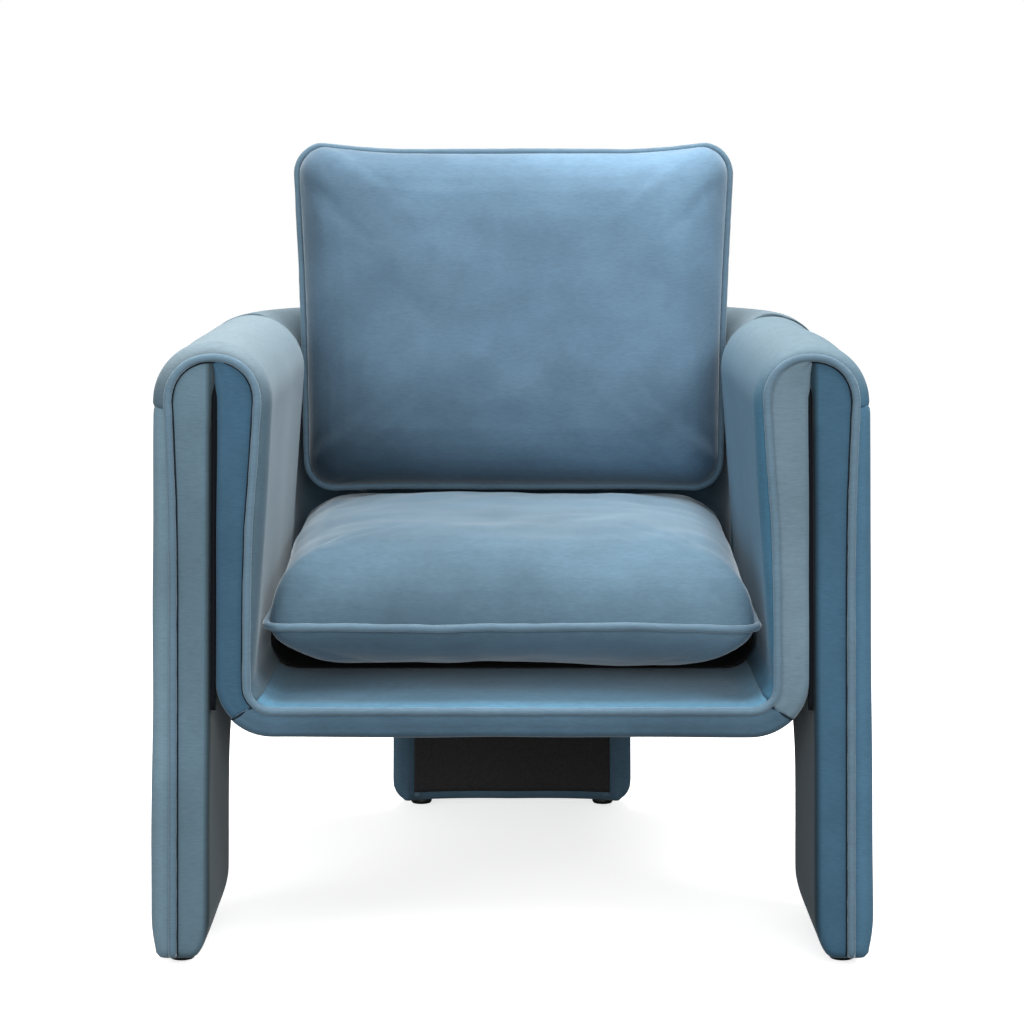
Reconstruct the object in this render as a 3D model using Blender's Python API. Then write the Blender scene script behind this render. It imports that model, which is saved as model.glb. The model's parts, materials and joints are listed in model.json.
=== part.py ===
"""Barrel-backed upholstered armchair on three slab legs, built from its separate pieces.

Metres, +Z up. The chair faces -Y, +X is to the right of someone who looks at its front,
and the origin is on the floor under the middle of its bounding box.
"""

import math

import bmesh
import bpy
from mathutils import Vector

# ---------------------------------------------------------------- driving dimensions
WIDTH = 0.740
DEPTH = 0.760
HEIGHT = 0.854
GAP = 0.0003  # clearance between pieces that touch
CUT_PAST = 0.02  # how far a cutter runs out of an open end

FRONT_Y = -DEPTH / 2
BACK_Y = DEPTH / 2
OUTER_X = WIDTH / 2

WELT_R = 0.004
FACE_Y = FRONT_Y + 2 * WELT_R + GAP  # front face of the padding, behind the welt
EDGE_ROLL = 0.018  # rounding of the padded edges
EDGE_PAD = 0.022  # padding in front of the boards
BARREL_Y = FRONT_Y + 0.445  # where the straight arms end and the curved back begins

SLAB_MID_X = 0.340  # seam plane of the outer slab
SLAB_IN_X = 0.3093  # inner face of the outer slab
BOARD_HALF = 0.009
ARM_TOP_Z = 0.654
WRAP_Z = 0.587  # seam between the arm wrap and the panels under it
ARM_FOOT_H = 0.006  # straight part of an arm top under its round
ARM_RAIL_T = 0.022
ARM_RAIL_X = (0.262, 0.356)

LEG_BOTTOM_Z = 0.0103
LEG_DEPTH = 0.220
ARCH_Z = 0.239
ARCH_R = 0.070
TOE_R = 0.024
HEEL_R = 0.045
HEEL_SHRINK = 0.8  # how fast the toe and heel radii shrink with an inset
REAR_HEEL_R = 0.030
REAR_LEG_HALF = 0.149
REAR_LEG_WELT_X = 0.111

BUCKET_OUT_X = 0.3047  # outer face of the inner slab; the slit lies between it and SLAB_IN_X
BUCKET_TOP_IN_X = 0.2485
BUCKET_LOW_IN_X = 0.2655
BUCKET_LOW_Z = 0.324
BUCKET_BOTTOM_Z = 0.245
TROUGH_Z = 0.279
BUCKET_ROLL = 0.012
BUCKET_OUT_R = 0.060
RAIL_HALF_X = 0.2200
RAIL_Z = (0.2505, 0.2705)
RAIL_WIDTH = 0.060
RAIL_TURNS = (0.045, 0.030)  # outer and inner chamfer where the side rail turns up
CORNER_BLOCK = 0.070
INNER_BOARD_X = (0.2815, 0.2985)
SEAT_REAR_Y = FRONT_Y + 0.598
TROUGH_REAR_Y = FRONT_Y + 0.200
DECK_CLOTH_T = 0.0017
DUST_CLOTH_T = 0.001
DUST_HALF_X = 0.236
DUST_FRONT_Y = FRONT_Y + 0.050

BACK_OUT_POWER = 2.4  # squareness of the back's outer line in plan
BACK_IN_POWER = 4.0
BACK_IN_X = 0.2645
BACK_IN_Y = FRONT_Y + 0.645
BACK_STEPS = 28
OUTER_PAD_F = (0.0, 0.25)  # layers of the back, as shares of its thickness
BOARD_F = (0.2525, 0.40)
FRAME_F = (0.4025, 0.75)
REAR_LEG_PAD_F = (0.2525, 0.50)
INNER_PAD_F = (0.7525, 1.0)
TOP_RAIL_F = (0.12, 0.88)
TOP_RAIL_GAP_F = 0.003
POST_TURN = 52.0  # degrees round the back from its middle
POST_HALF = 4.0

SPRING_COUNT = 4
SPRING_WIRE_R = 0.0018
SPRING_PITCH = 0.100
SPRING_SWING = 0.024
SPRING_WAVES = 7
SPRING_POINTS = 6  # points in one wave
SPRING_HOLD = 0.020  # how far the springs lie on the rails

WELT_OUTER_X = 0.3480
WELT_INNER_X = 0.2700
WELT_LOW_INNER_X = 0.2780
WELT_ARCH_Z = 0.597
WELT_TURN_R = 0.044
WELT_BOTTOM_Z = 0.271
WELT_FOOT_Z = LEG_BOTTOM_Z + 0.012

GLIDE_R = 0.013
GLIDE_H = 0.010
GLIDE_CHAMFER = 0.002
GLIDE_SIDES = 16
GLIDE_FRONT_Y = FRONT_Y + 0.042
GLIDE_MIDDLE_Y = FRONT_Y + 0.158
GLIDE_REAR_F = BOARD_F[1] - 0.12

LEAN = math.radians(11.0)
COVER_T = 0.002
CUSHION_WELT_R = 0.0037

SEAT_CUSHION = {
    "half_start": 0.2550,
    "half_end": 0.2550,
    "length": 0.557,
    "radius_start": 0.040,
    "radius_end": 0.080,
    "rise": 0.0890,
    "drop": 0.0780,
}
SEAT_CUSHION_Y = FRONT_Y + 0.035
SEAT_SEAM_Z = 0.3578

BACK_FOOT_Z = 0.445

BACK_CUSHION = {
    "half_start": 0.2415,
    "half_end": 0.2565,
    "length": (HEIGHT - BACK_FOOT_Z - CUSHION_WELT_R) / math.cos(LEAN) - CUSHION_WELT_R - GAP,
    "radius_start": 0.028,
    "radius_end": 0.028,
    "rise": 0.085,
    "drop": 0.075,
}
BACK_CUSHION_FOOT = (0.0, FRONT_Y + 0.500, BACK_FOOT_Z)

CUSHION_RINGS = (0.0, 0.45, 0.72, 0.90, 0.98, 1.0)
CUSHION_POWER = 3.5
ZIP_HALF = 0.190
ZIP_TAPE_T = 0.002
ZIP_TAPE_W = (CUSHION_WELT_R + 2 * GAP, CUSHION_WELT_R + 0.0125)
ZIP_SLIDER_HALF = (0.005, 0.003)
ZIP_SLIDER_OUT = (0.0023, 0.0055)
ZIP_SLIDER_START = 0.010  # distance of the slider from the tape's end

# ---------------------------------------------------------------- materials
COLOURS = {
    "velvet": ((0.150, 0.275, 0.385, 1.0), 0.85, 0.0),
    "wood": ((0.62, 0.44, 0.26, 1.0), 0.60, 0.0),
    "foam": ((0.80, 0.74, 0.58, 1.0), 0.95, 0.0),
    "spring_steel": ((0.45, 0.46, 0.48, 1.0), 0.35, 1.0),
    "platform_cloth": ((0.012, 0.012, 0.014, 1.0), 0.95, 0.0),
    "dust_cloth": ((0.030, 0.030, 0.032, 1.0), 0.95, 0.0),
    "glide_plastic": ((0.010, 0.010, 0.011, 1.0), 0.45, 0.0),
    "zipper": ((0.060, 0.110, 0.160, 1.0), 0.50, 0.0),
}


def clear_scene():
    for obj in list(bpy.data.objects):
        bpy.data.objects.remove(obj, do_unlink=True)


def material(slot, name):
    """A Principled material of its own for one sub-part."""
    colour, roughness, metallic = COLOURS[slot]
    made = bpy.data.materials.new(f"{slot}_{name}")
    made.use_nodes = True
    shader = made.node_tree.nodes["Principled BSDF"]
    shader.inputs["Base Color"].default_value = colour
    shader.inputs["Roughness"].default_value = roughness
    shader.inputs["Metallic"].default_value = metallic
    made.diffuse_color = colour
    return made


def link(obj, slot):
    bpy.context.scene.collection.objects.link(obj)
    obj.data.materials.append(material(slot, obj.name))
    return obj


def add_mesh(name, bm, slot):
    """Turn a finished bmesh into a named, smooth-shaded object."""
    bmesh.ops.recalc_face_normals(bm, faces=bm.faces)
    mesh = bpy.data.meshes.new(name)
    bm.to_mesh(mesh)
    bm.free()
    mesh.shade_smooth()
    mesh.set_sharp_from_angle(angle=math.radians(35))
    return link(bpy.data.objects.new(name, mesh), slot)


def as_cutter(obj):
    obj.hide_render = True
    obj.display_type = "WIRE"
    return obj


def cut(obj, cutter):
    """Take the cutter's space out of an object."""
    boolean = obj.modifiers.new(f"cut_{cutter.name}", "BOOLEAN")
    boolean.operation = "DIFFERENCE"
    boolean.solver = "EXACT"
    boolean.object = cutter


def side_word(sign):
    return "left" if sign < 0 else "right"


# ---------------------------------------------------------------- solids from outlines
def prism_bmesh(outline, low, high, axis):
    """Extrude a closed 2-D outline between two planes across the named axis."""
    order = {
        "X": lambda a, b, c: (c, a, b),
        "Y": lambda a, b, c: (a, c, b),
        "Z": lambda a, b, c: (a, b, c),
    }[axis]
    bm = bmesh.new()
    ends = [[bm.verts.new(order(a, b, c)) for a, b in outline] for c in (low, high)]
    bm.faces.new(ends[0])
    bm.faces.new(list(reversed(ends[1])))
    count = len(outline)
    for i in range(count):
        j = (i + 1) % count
        bm.faces.new((ends[0][i], ends[0][j], ends[1][j], ends[1][i]))
    bmesh.ops.recalc_face_normals(bm, faces=bm.faces)
    return bm


def prism(name, outline, low, high, axis, slot):
    return add_mesh(name, prism_bmesh(outline, low, high, axis), slot)


def block(name, low, high, slot):
    outline = [(low[0], low[1]), (high[0], low[1]), (high[0], high[1]), (low[0], high[1])]
    return prism(name, outline, low[2], high[2], "Z", slot)


def round_chosen(bm, edges, width, segments=3):
    """Bevel the given edges to a round."""
    bmesh.ops.bevel(
        bm, geom=edges, offset=width, offset_type="OFFSET", segments=segments, profile=0.5, affect="EDGES"
    )


def round_where(bm, test, width, segments=3):
    """Bevel the edges whose two ends both pass the test."""
    round_chosen(bm, [e for e in bm.edges if all(test(v.co) for v in e.verts)], width, segments)


def arc(centre, radius, start_deg, end_deg, steps):
    """Points on an arc, both ends included."""
    points = []
    for i in range(steps + 1):
        a = math.radians(start_deg + (end_deg - start_deg) * i / steps)
        points.append((centre[0] + radius * math.cos(a), centre[1] + radius * math.sin(a)))
    return points


# ---------------------------------------------------------------- outer slabs: arms and front legs
def side_outline(inset, top, end_y):
    """Side view (y, z) of an arm panel with its front leg; inset shrinks its free edges."""
    front = FACE_Y + inset
    rear = FRONT_Y + LEG_DEPTH - inset
    bottom = LEG_BOTTOM_Z + inset
    arch = ARCH_Z + inset
    toe = TOE_R - inset * HEEL_SHRINK
    heel = HEEL_R - inset * HEEL_SHRINK
    fillet = ARCH_R + inset
    points = [(front, top)]
    points += arc((front + toe, bottom + toe), toe, 180, 270, 4)
    points += arc((rear - heel, bottom + heel), heel, 270, 360, 5)
    points += arc((rear + fillet, arch - fillet), fillet, 180, 90, 6)
    points += [(end_y, arch), (end_y, top)]
    return points


def side_slab(sign, x_range, inset=0.0, overrun=0.0):
    """An arm panel between two distances from the middle plane; overrun lengthens its joined ends."""
    outline = side_outline(inset, WRAP_Z - GAP + overrun, BARREL_Y + overrun)
    return prism_bmesh(outline, sign * x_range[0], sign * x_range[1], "X")


def padded_side_slab(name, sign, x_range, rolled_x, pocket):
    """One half of an outer slab, rolled along its free edges and hollowed for the board."""
    bm = side_slab(sign, x_range)
    eps = 1e-5
    edges = [
        e
        for e in bm.edges
        if all(abs(abs(v.co.x) - rolled_x) < eps for v in e.verts)
        and not all(v.co.z > WRAP_Z - GAP - eps for v in e.verts)
        and not all(v.co.y > BARREL_Y - eps for v in e.verts)
    ]
    round_chosen(bm, edges, EDGE_ROLL)
    cut(add_mesh(name, bm, "velvet"), pocket)


def outer_slabs(sign):
    side = side_word(sign)
    board = (SLAB_MID_X - BOARD_HALF, SLAB_MID_X + BOARD_HALF)
    pocket_x = (board[0] - GAP, board[1] + GAP)
    board_name = f"side_board_{side}"
    add_mesh(board_name, side_slab(sign, board, inset=EDGE_PAD), "wood")
    pocket_bm = side_slab(sign, pocket_x, inset=EDGE_PAD - GAP, overrun=CUT_PAST)
    pocket = as_cutter(add_mesh(f"cutter_{board_name}", pocket_bm, "wood"))
    padded_side_slab(f"outer_pad_{side}", sign, (SLAB_MID_X + GAP / 2, OUTER_X), OUTER_X, pocket)
    padded_side_slab(f"leg_pad_{side}", sign, (SLAB_IN_X, SLAB_MID_X - GAP / 2), SLAB_IN_X, pocket)


# ---------------------------------------------------------------- arm tops
def roll_section(near, far):
    """Section of an arm top: short straight sides under a round top."""
    half = (far - near) / 2
    rise = ARM_TOP_Z - WRAP_Z - ARM_FOOT_H
    points = [(far, WRAP_Z)]
    for i in range(13):
        a = math.pi * i / 12
        points.append((near + half + half * math.cos(a), WRAP_Z + ARM_FOOT_H + rise * math.sin(a)))
    points.append((near, WRAP_Z))
    return points


def arm_top(sign):
    side = side_word(sign)
    outline = [(sign * x, z) for x, z in roll_section(BUCKET_TOP_IN_X, OUTER_X)]
    bm = prism_bmesh(outline, FACE_Y, BARREL_Y, "Y")
    eps = 1e-5
    edges = [
        e
        for e in bm.edges
        if all(abs(v.co.y - FACE_Y) < eps for v in e.verts) and not all(v.co.z < WRAP_Z + eps for v in e.verts)
    ]
    round_chosen(bm, edges, EDGE_ROLL)
    wrap = add_mesh(f"arm_wrap_{side}", bm, "velvet")
    xs = sorted(sign * x for x in ARM_RAIL_X)
    front = FACE_Y + EDGE_PAD
    block(f"arm_rail_{side}", (xs[0], front, WRAP_Z), (xs[1], BARREL_Y, WRAP_Z + ARM_RAIL_T), "wood")
    pocket = block(
        f"cutter_arm_rail_{side}",
        (xs[0] - GAP, front - GAP, WRAP_Z - CUT_PAST),
        (xs[1] + GAP, BARREL_Y + CUT_PAST, WRAP_Z + ARM_RAIL_T + GAP),
        "wood",
    )
    cut(wrap, as_cutter(pocket))


# ---------------------------------------------------------------- inner bucket
def inner_face_x(z):
    """Distance of the bucket's inner face from the middle plane: it leans outwards downwards."""
    share = (WRAP_Z - z) / (WRAP_Z - BUCKET_LOW_Z)
    return BUCKET_TOP_IN_X + (BUCKET_LOW_IN_X - BUCKET_TOP_IN_X) * share


def inner_side(sign):
    """One arm's inner slab: a board behind a pad that wraps its front edge and both faces."""
    side = side_word(sign)
    low, high = BUCKET_LOW_Z + GAP, WRAP_Z - GAP
    outline = [(inner_face_x(low), low), (BUCKET_OUT_X, low), (BUCKET_OUT_X, high), (inner_face_x(high), high)]
    bm = prism_bmesh([(sign * x, z) for x, z in outline], FACE_Y, BARREL_Y, "Y")
    round_where(bm, lambda co: co.y < FACE_Y + 1e-5 and abs(co.x) < BUCKET_LOW_IN_X + 1e-4, EDGE_ROLL)
    pad = add_mesh(f"inner_pad_{side}", bm, "velvet")
    xs = sorted(sign * x for x in INNER_BOARD_X)
    board_front = FACE_Y + EDGE_PAD
    block(f"inner_board_{side}", (xs[0], board_front, low), (xs[1], BARREL_Y, high), "wood")
    pocket = block(
        f"cutter_inner_board_{side}",
        (xs[0] - GAP, board_front - GAP, low - CUT_PAST),
        (xs[1] + GAP, BARREL_Y + CUT_PAST, high + CUT_PAST),
        "wood",
    )
    cut(pad, as_cutter(pocket))


def rail_corner_outline(sign, grow=0.0):
    """Section of the seat's side rail, which turns up into the arm board."""
    (x0, x1), (z0, z1) = INNER_BOARD_X, RAIL_Z
    outer_turn, inner_turn = RAIL_TURNS
    top = BUCKET_LOW_Z + (CUT_PAST if grow else -GAP)
    start = RAIL_HALF_X + GAP - (CUT_PAST if grow else 0.0)
    points = [
        (start, z0 - grow),
        (x1 - outer_turn, z0 - grow),
        (x1 + grow, z0 + outer_turn),
        (x1 + grow, top),
        (x0 - grow, top),
        (x0 - grow, z1 + inner_turn + grow),
        (x0 - inner_turn, z1 + grow),
        (start, z1 + grow),
    ]
    return [(sign * x, z) for x, z in points]


def bucket_bottom():
    """The padded trough that joins the two inner slabs, open behind for the seat frame."""
    out_r, in_r = BUCKET_OUT_R, BUCKET_LOW_Z - TROUGH_Z
    right = [(BUCKET_OUT_X, BUCKET_LOW_Z)]
    right += reversed(arc((BUCKET_OUT_X - out_r, BUCKET_BOTTOM_Z + out_r), out_r, 270, 360, 7))
    inner = arc((BUCKET_LOW_IN_X - in_r, BUCKET_LOW_Z), in_r, 270, 360, 6)
    outline = right + [(-x, z) for x, z in reversed(right)]
    outline += [(-x, z) for x, z in reversed(inner)] + inner
    bm = prism_bmesh(outline, FACE_Y, BARREL_Y, "Y")
    eps = 1e-5
    edges = [
        e
        for e in bm.edges
        if all(v.co.y < FACE_Y + eps for v in e.verts)
        and not all(v.co.z > BUCKET_LOW_Z - eps for v in e.verts)
    ]
    round_chosen(bm, edges, BUCKET_ROLL)
    pad = add_mesh("bucket_pad", bm, "velvet")
    well = block(
        "cutter_seat_frame",
        (-RAIL_HALF_X - GAP, FACE_Y + EDGE_PAD - GAP, RAIL_Z[0] - GAP),
        (RAIL_HALF_X + GAP, BARREL_Y + CUT_PAST, TROUGH_Z + CUT_PAST),
        "wood",
    )
    cut(pad, as_cutter(well))
    for sign in (-1, 1):
        side = side_word(sign)
        front = FACE_Y + EDGE_PAD
        prism(f"seat_rail_{side}", rail_corner_outline(sign), front, BARREL_Y, "Y", "wood")
        channel = prism(
            f"cutter_seat_rail_{side}",
            rail_corner_outline(sign, GAP),
            front - GAP,
            BARREL_Y + CUT_PAST,
            "Y",
            "wood",
        )
        cut(pad, as_cutter(channel))


# ---------------------------------------------------------------- seat frame, springs and deck
def seat_frame():
    front = FACE_Y + EDGE_PAD
    half = RAIL_HALF_X - GAP
    rear = SEAT_REAR_Y - RAIL_WIDTH
    block("seat_rail_front", (-half, front, RAIL_Z[0]), (half, front + RAIL_WIDTH, RAIL_Z[1]), "wood")
    block("seat_rail_rear", (-half, rear, RAIL_Z[0]), (half, SEAT_REAR_Y, RAIL_Z[1]), "wood")
    corners = {"front": (front + RAIL_WIDTH + GAP, 1), "rear": (rear - GAP, -1)}
    for end, (y, inwards) in corners.items():
        for sign in (-1, 1):
            outline = [
                (sign * half, y),
                (sign * (half - CORNER_BLOCK), y),
                (sign * half, y + inwards * CORNER_BLOCK),
            ]
            prism(f"corner_block_{end}_{side_word(sign)}", outline, *RAIL_Z, "Z", "wood")


def seat_springs():
    """Sinuous springs that run over the rails from front to rear."""
    start, end = FACE_Y + EDGE_PAD + SPRING_HOLD, SEAT_REAR_Y - SPRING_HOLD
    for k in range(SPRING_COUNT):
        curve = bpy.data.curves.new(f"seat_spring_{k + 1}", "CURVE")
        curve.dimensions = "3D"
        curve.bevel_depth = SPRING_WIRE_R
        curve.bevel_resolution = 1
        curve.use_fill_caps = True
        spline = curve.splines.new("POLY")
        count = SPRING_WAVES * SPRING_POINTS + 1
        spline.points.add(count - 1)
        middle = (k - (SPRING_COUNT - 1) / 2) * SPRING_PITCH
        for i, point in enumerate(spline.points):
            x = middle + SPRING_SWING * math.sin(2 * math.pi * i / SPRING_POINTS)
            y = start + (end - start) * i / (count - 1)
            point.co = (x, y, RAIL_Z[1] + GAP + SPRING_WIRE_R, 1.0)
        link(bpy.data.objects.new(curve.name, curve), "spring_steel")


def platform_outline():
    """Plan of the platform cloth: straight along the bucket, rounded into the barrel."""
    half = RAIL_HALF_X - GAP
    points = [(half, TROUGH_REAR_Y + GAP), (half, BARREL_Y)]
    for i in range(5, 22):
        x, y = inner_line(math.pi / 2 * i / 24)
        if x < half:
            points.append((x - 0.004, min(y - 0.004, SEAT_REAR_Y)))
    return points + [(-x, y) for x, y in reversed(points)]


def deck():
    cloth_z = RAIL_Z[1] + 2 * GAP + 2 * SPRING_WIRE_R
    half = RAIL_HALF_X - GAP
    front = FACE_Y + EDGE_PAD
    block("trough_cover", (-half, front, cloth_z), (half, TROUGH_REAR_Y, TROUGH_Z), "velvet")
    prism("platform_cloth", platform_outline(), cloth_z, cloth_z + DECK_CLOTH_T, "Z", "platform_cloth")
    under = BUCKET_BOTTOM_Z - GAP
    low = (-DUST_HALF_X, DUST_FRONT_Y, under - DUST_CLOTH_T)
    block("dust_cover", low, (DUST_HALF_X, SEAT_REAR_Y, under), "dust_cloth")


# ---------------------------------------------------------------- curved back and rear leg
def superellipse(half_x, reach_y, power, angle):
    x = half_x * abs(math.cos(angle)) ** (2 / power)
    y = reach_y * abs(math.sin(angle)) ** (2 / power)
    return math.copysign(x, math.cos(angle)), BARREL_Y + GAP + y


def outer_line(angle):
    return superellipse(OUTER_X, BACK_Y - BARREL_Y - GAP, BACK_OUT_POWER, angle)


def inner_line(angle):
    return superellipse(BACK_IN_X, BACK_IN_Y - BARREL_Y, BACK_IN_POWER, angle)


def on_facets(line, angle):
    """A point on the line's chords, which all the layers of the back share."""
    place = angle / math.pi * BACK_STEPS
    first = min(int(place), BACK_STEPS - 1)
    (ax, ay), (bx, by) = (line(math.pi * i / BACK_STEPS) for i in (first, first + 1))
    return ax + (bx - ax) * (place - first), ay + (by - ay) * (place - first)


def back_point(angle, share, z):
    """A point of the back: share 0 lies on its outer face and 1 on its inner face."""
    (ox, oy), (ix, iy) = on_facets(outer_line, angle), on_facets(inner_line, angle)
    return Vector((ox + (ix - ox) * share, oy + (iy - oy) * share, z))


def back_loft(name, section, slot, start=0.0, end=math.pi):
    """Sweep a closed (share, z) section around the back between two angles."""
    bm = bmesh.new()
    grid = [math.pi * i / BACK_STEPS for i in range(BACK_STEPS + 1)]
    angles = [start] + [a for a in grid if start + 1e-4 < a < end - 1e-4] + [end]
    rings = []
    for angle in angles:
        rings.append([bm.verts.new(back_point(angle, share, z)) for share, z in section])
    bm.faces.new(rings[0])
    bm.faces.new(list(reversed(rings[-1])))
    count = len(section)
    for a, b in zip(rings, rings[1:]):
        for i in range(count):
            j = (i + 1) % count
            bm.faces.new((a[i], a[j], b[j], b[i]))
    return add_mesh(name, bm, slot)


def layer(shares, low, high):
    return [(shares[0], low), (shares[1], low), (shares[1], high), (shares[0], high)]


def angle_at_x(x):
    """Angle at which the back's outer line reaches a distance from the middle plane."""
    return math.acos((x / OUTER_X) ** (BACK_OUT_POWER / 2))


def side_arch_cutter(sign, edge_x, low_z, name):
    """Everything under the side arch, outside the rear leg."""
    outline = [(edge_x, -0.1)]
    outline += arc((edge_x + ARCH_R, low_z - ARCH_R), ARCH_R, 180, 90, 6)
    outline += [(OUTER_X + 0.1, low_z), (OUTER_X + 0.1, -0.1)]
    outline = [(sign * x, z) for x, z in outline]
    return as_cutter(prism(name, outline, BARREL_Y - 0.1, BACK_Y + 0.1, "Y", "wood"))


def heel_cutter(sign, edge_x, name):
    """Rounds a lower corner of the rear leg."""
    r = REAR_HEEL_R
    corner = (edge_x + 0.01, LEG_BOTTOM_Z - 0.01)
    outline = [corner, (edge_x + 0.01, LEG_BOTTOM_Z + r)]
    outline += arc((edge_x - r, LEG_BOTTOM_Z + r), r, 360, 270, 5)
    outline += [(edge_x - r, LEG_BOTTOM_Z - 0.01)]
    outline = [(sign * x, z) for x, z in outline]
    return as_cutter(prism(name, outline, BARREL_Y, BACK_Y + 0.1, "Y", "wood"))


def back():
    top = WRAP_Z - GAP
    outer = back_loft("outer_pad_back", layer(OUTER_PAD_F, LEG_BOTTOM_Z, top), "velvet")
    leg_end = angle_at_x(REAR_LEG_HALF + 0.001)
    span = (leg_end, math.pi - leg_end)
    leg_pad_z = (LEG_BOTTOM_Z, ARCH_Z)
    leg_pad = back_loft("rear_leg_pad", layer(REAR_LEG_PAD_F, *leg_pad_z), "velvet", *span)
    for sign in (-1, 1):
        side = side_word(sign)
        arch = side_arch_cutter(sign, REAR_LEG_HALF, ARCH_Z, f"cutter_arch_{side}")
        heel = heel_cutter(sign, REAR_LEG_HALF, f"cutter_heel_{side}")
        cut(outer, arch)
        cut(outer, heel)
        cut(leg_pad, heel)
        flank = block(
            f"cutter_leg_flank_{side}",
            (min(sign * REAR_LEG_HALF, sign * OUTER_X), BARREL_Y, -0.1),
            (max(sign * REAR_LEG_HALF, sign * OUTER_X), BACK_Y + 0.1, WRAP_Z),
            "wood",
        )
        cut(leg_pad, as_cutter(flank))

    board_end = angle_at_x(REAR_LEG_HALF - EDGE_PAD)
    board_span = (board_end, math.pi - board_end)
    board_low = LEG_BOTTOM_Z + EDGE_PAD
    back_loft("back_board", layer(BOARD_F, board_low, top), "wood", *board_span)
    pocket_end = board_end - math.radians(0.2)
    pocket_section = layer((BOARD_F[0] - CUT_PAST, FRAME_F[0]), board_low - GAP, ARCH_Z + CUT_PAST)
    pocket = back_loft("cutter_leg_board", pocket_section, "wood", pocket_end, math.pi - pocket_end)
    cut(leg_pad, as_cutter(pocket))

    notch_end = board_end - math.radians(1.0)
    notch_span = (notch_end, math.pi - notch_end)
    notch_section = layer((BOARD_F[0] - CUT_PAST, FRAME_F[0]), RAIL_Z[0] - CUT_PAST, RAIL_Z[1] + CUT_PAST)
    notch = as_cutter(back_loft("cutter_back_board", notch_section, "wood", *notch_span))
    lower = back_loft("back_rail_lower", layer((BOARD_F[0], FRAME_F[1]), *RAIL_Z), "wood")
    cut(lower, notch)
    rail_z = (WRAP_Z, WRAP_Z + ARM_RAIL_T)
    back_loft("back_rail_upper", layer(TOP_RAIL_F, *rail_z), "wood")

    post_z = (RAIL_Z[1] + GAP, WRAP_Z - GAP)
    for sign in (-1, 1):
        middle = math.radians(90 - sign * POST_TURN)
        half = math.radians(POST_HALF)
        post_span = (middle - half, middle + half)
        back_loft(f"back_post_{side_word(sign)}", layer(FRAME_F, *post_z), "wood", *post_span)
    back_loft("inner_pad_back", layer(INNER_PAD_F, BUCKET_BOTTOM_Z, top), "velvet")

    span_x = OUTER_X - BUCKET_TOP_IN_X
    section = [((OUTER_X - x) / span_x, z) for x, z in roll_section(BUCKET_TOP_IN_X, OUTER_X)]
    near, far = TOP_RAIL_F[1] + TOP_RAIL_GAP_F, TOP_RAIL_F[0] - TOP_RAIL_GAP_F
    notch_z = WRAP_Z + ARM_RAIL_T + GAP
    section += [(near, WRAP_Z), (near, notch_z), (far, notch_z), (far, WRAP_Z)]
    back_loft("back_roll", section, "velvet")


# ---------------------------------------------------------------- welts
def tube(name, points, radius, slot, closed=False):
    """A round cord along the points, as a curve with filled ends."""
    curve = bpy.data.curves.new(name, "CURVE")
    curve.dimensions = "3D"
    curve.bevel_depth = radius
    curve.bevel_resolution = 2
    curve.use_fill_caps = True
    spline = curve.splines.new("POLY")
    spline.points.add(len(points) - 1)
    spline.use_cyclic_u = closed
    for point, co in zip(spline.points, points):
        point.co = (*co, 1.0)
    return link(bpy.data.objects.new(name, curve), slot)


def front_welt():
    """One cord from foot to foot: up each leg, over each arm and along the trough's front."""
    arch_r = (WELT_OUTER_X - WELT_INNER_X) / 2
    arch_mid = (WELT_OUTER_X + WELT_INNER_X) / 2
    half = [(WELT_OUTER_X, WELT_FOOT_Z), (WELT_OUTER_X, BUCKET_LOW_Z)]
    half += arc((arch_mid, WELT_ARCH_Z), arch_r, 0, 180, 10)
    turn = (WELT_LOW_INNER_X - WELT_TURN_R, WELT_BOTTOM_Z + WELT_TURN_R)
    half += arc(turn, WELT_TURN_R, 0, -90, 7)
    path = half + [(-x, z) for x, z in reversed(half)]
    y = FRONT_Y + WELT_R
    tube("front_welt", [(x, y, z) for x, z in path], WELT_R, "velvet")


def rear_leg_welts():
    for sign in (-1, 1):
        angle = angle_at_x(REAR_LEG_WELT_X)
        angle = angle if sign > 0 else math.pi - angle
        face = back_point(angle, REAR_LEG_PAD_F[1], 0.0)
        y = face.y - WELT_R - GAP
        ends = [(face.x, y, LEG_BOTTOM_Z + 0.004), (face.x, y, ARCH_Z)]
        tube(f"rear_leg_welt_{side_word(sign)}", ends, WELT_R, "velvet")


# ---------------------------------------------------------------- glides
def glide(name, x, y):
    """A round plastic glide with a chamfered foot, standing on the floor."""
    bm = bmesh.new()
    profile = [(GLIDE_R - GLIDE_CHAMFER, 0.0), (GLIDE_R, GLIDE_CHAMFER), (GLIDE_R, GLIDE_H)]
    rings = []
    for radius, z in profile:
        ring = []
        for i in range(GLIDE_SIDES):
            a = 2 * math.pi * i / GLIDE_SIDES
            ring.append(bm.verts.new((x + radius * math.cos(a), y + radius * math.sin(a), z)))
        rings.append(ring)
    bm.faces.new(rings[0])
    bm.faces.new(rings[-1])
    for low, high in zip(rings, rings[1:]):
        for i in range(GLIDE_SIDES):
            j = (i + 1) % GLIDE_SIDES
            bm.faces.new((low[i], low[j], high[j], high[i]))
    add_mesh(name, bm, "glide_plastic")


def glides():
    for sign in (-1, 1):
        side = side_word(sign)
        glide(f"glide_front_{side}", sign * SLAB_MID_X, GLIDE_FRONT_Y)
        glide(f"glide_middle_{side}", sign * SLAB_MID_X, GLIDE_MIDDLE_Y)
        angle = angle_at_x(REAR_LEG_WELT_X)
        angle = angle if sign > 0 else math.pi - angle
        foot = back_point(angle, GLIDE_REAR_F, 0.0)
        glide(f"glide_rear_{side}", foot.x, foot.y)


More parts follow.
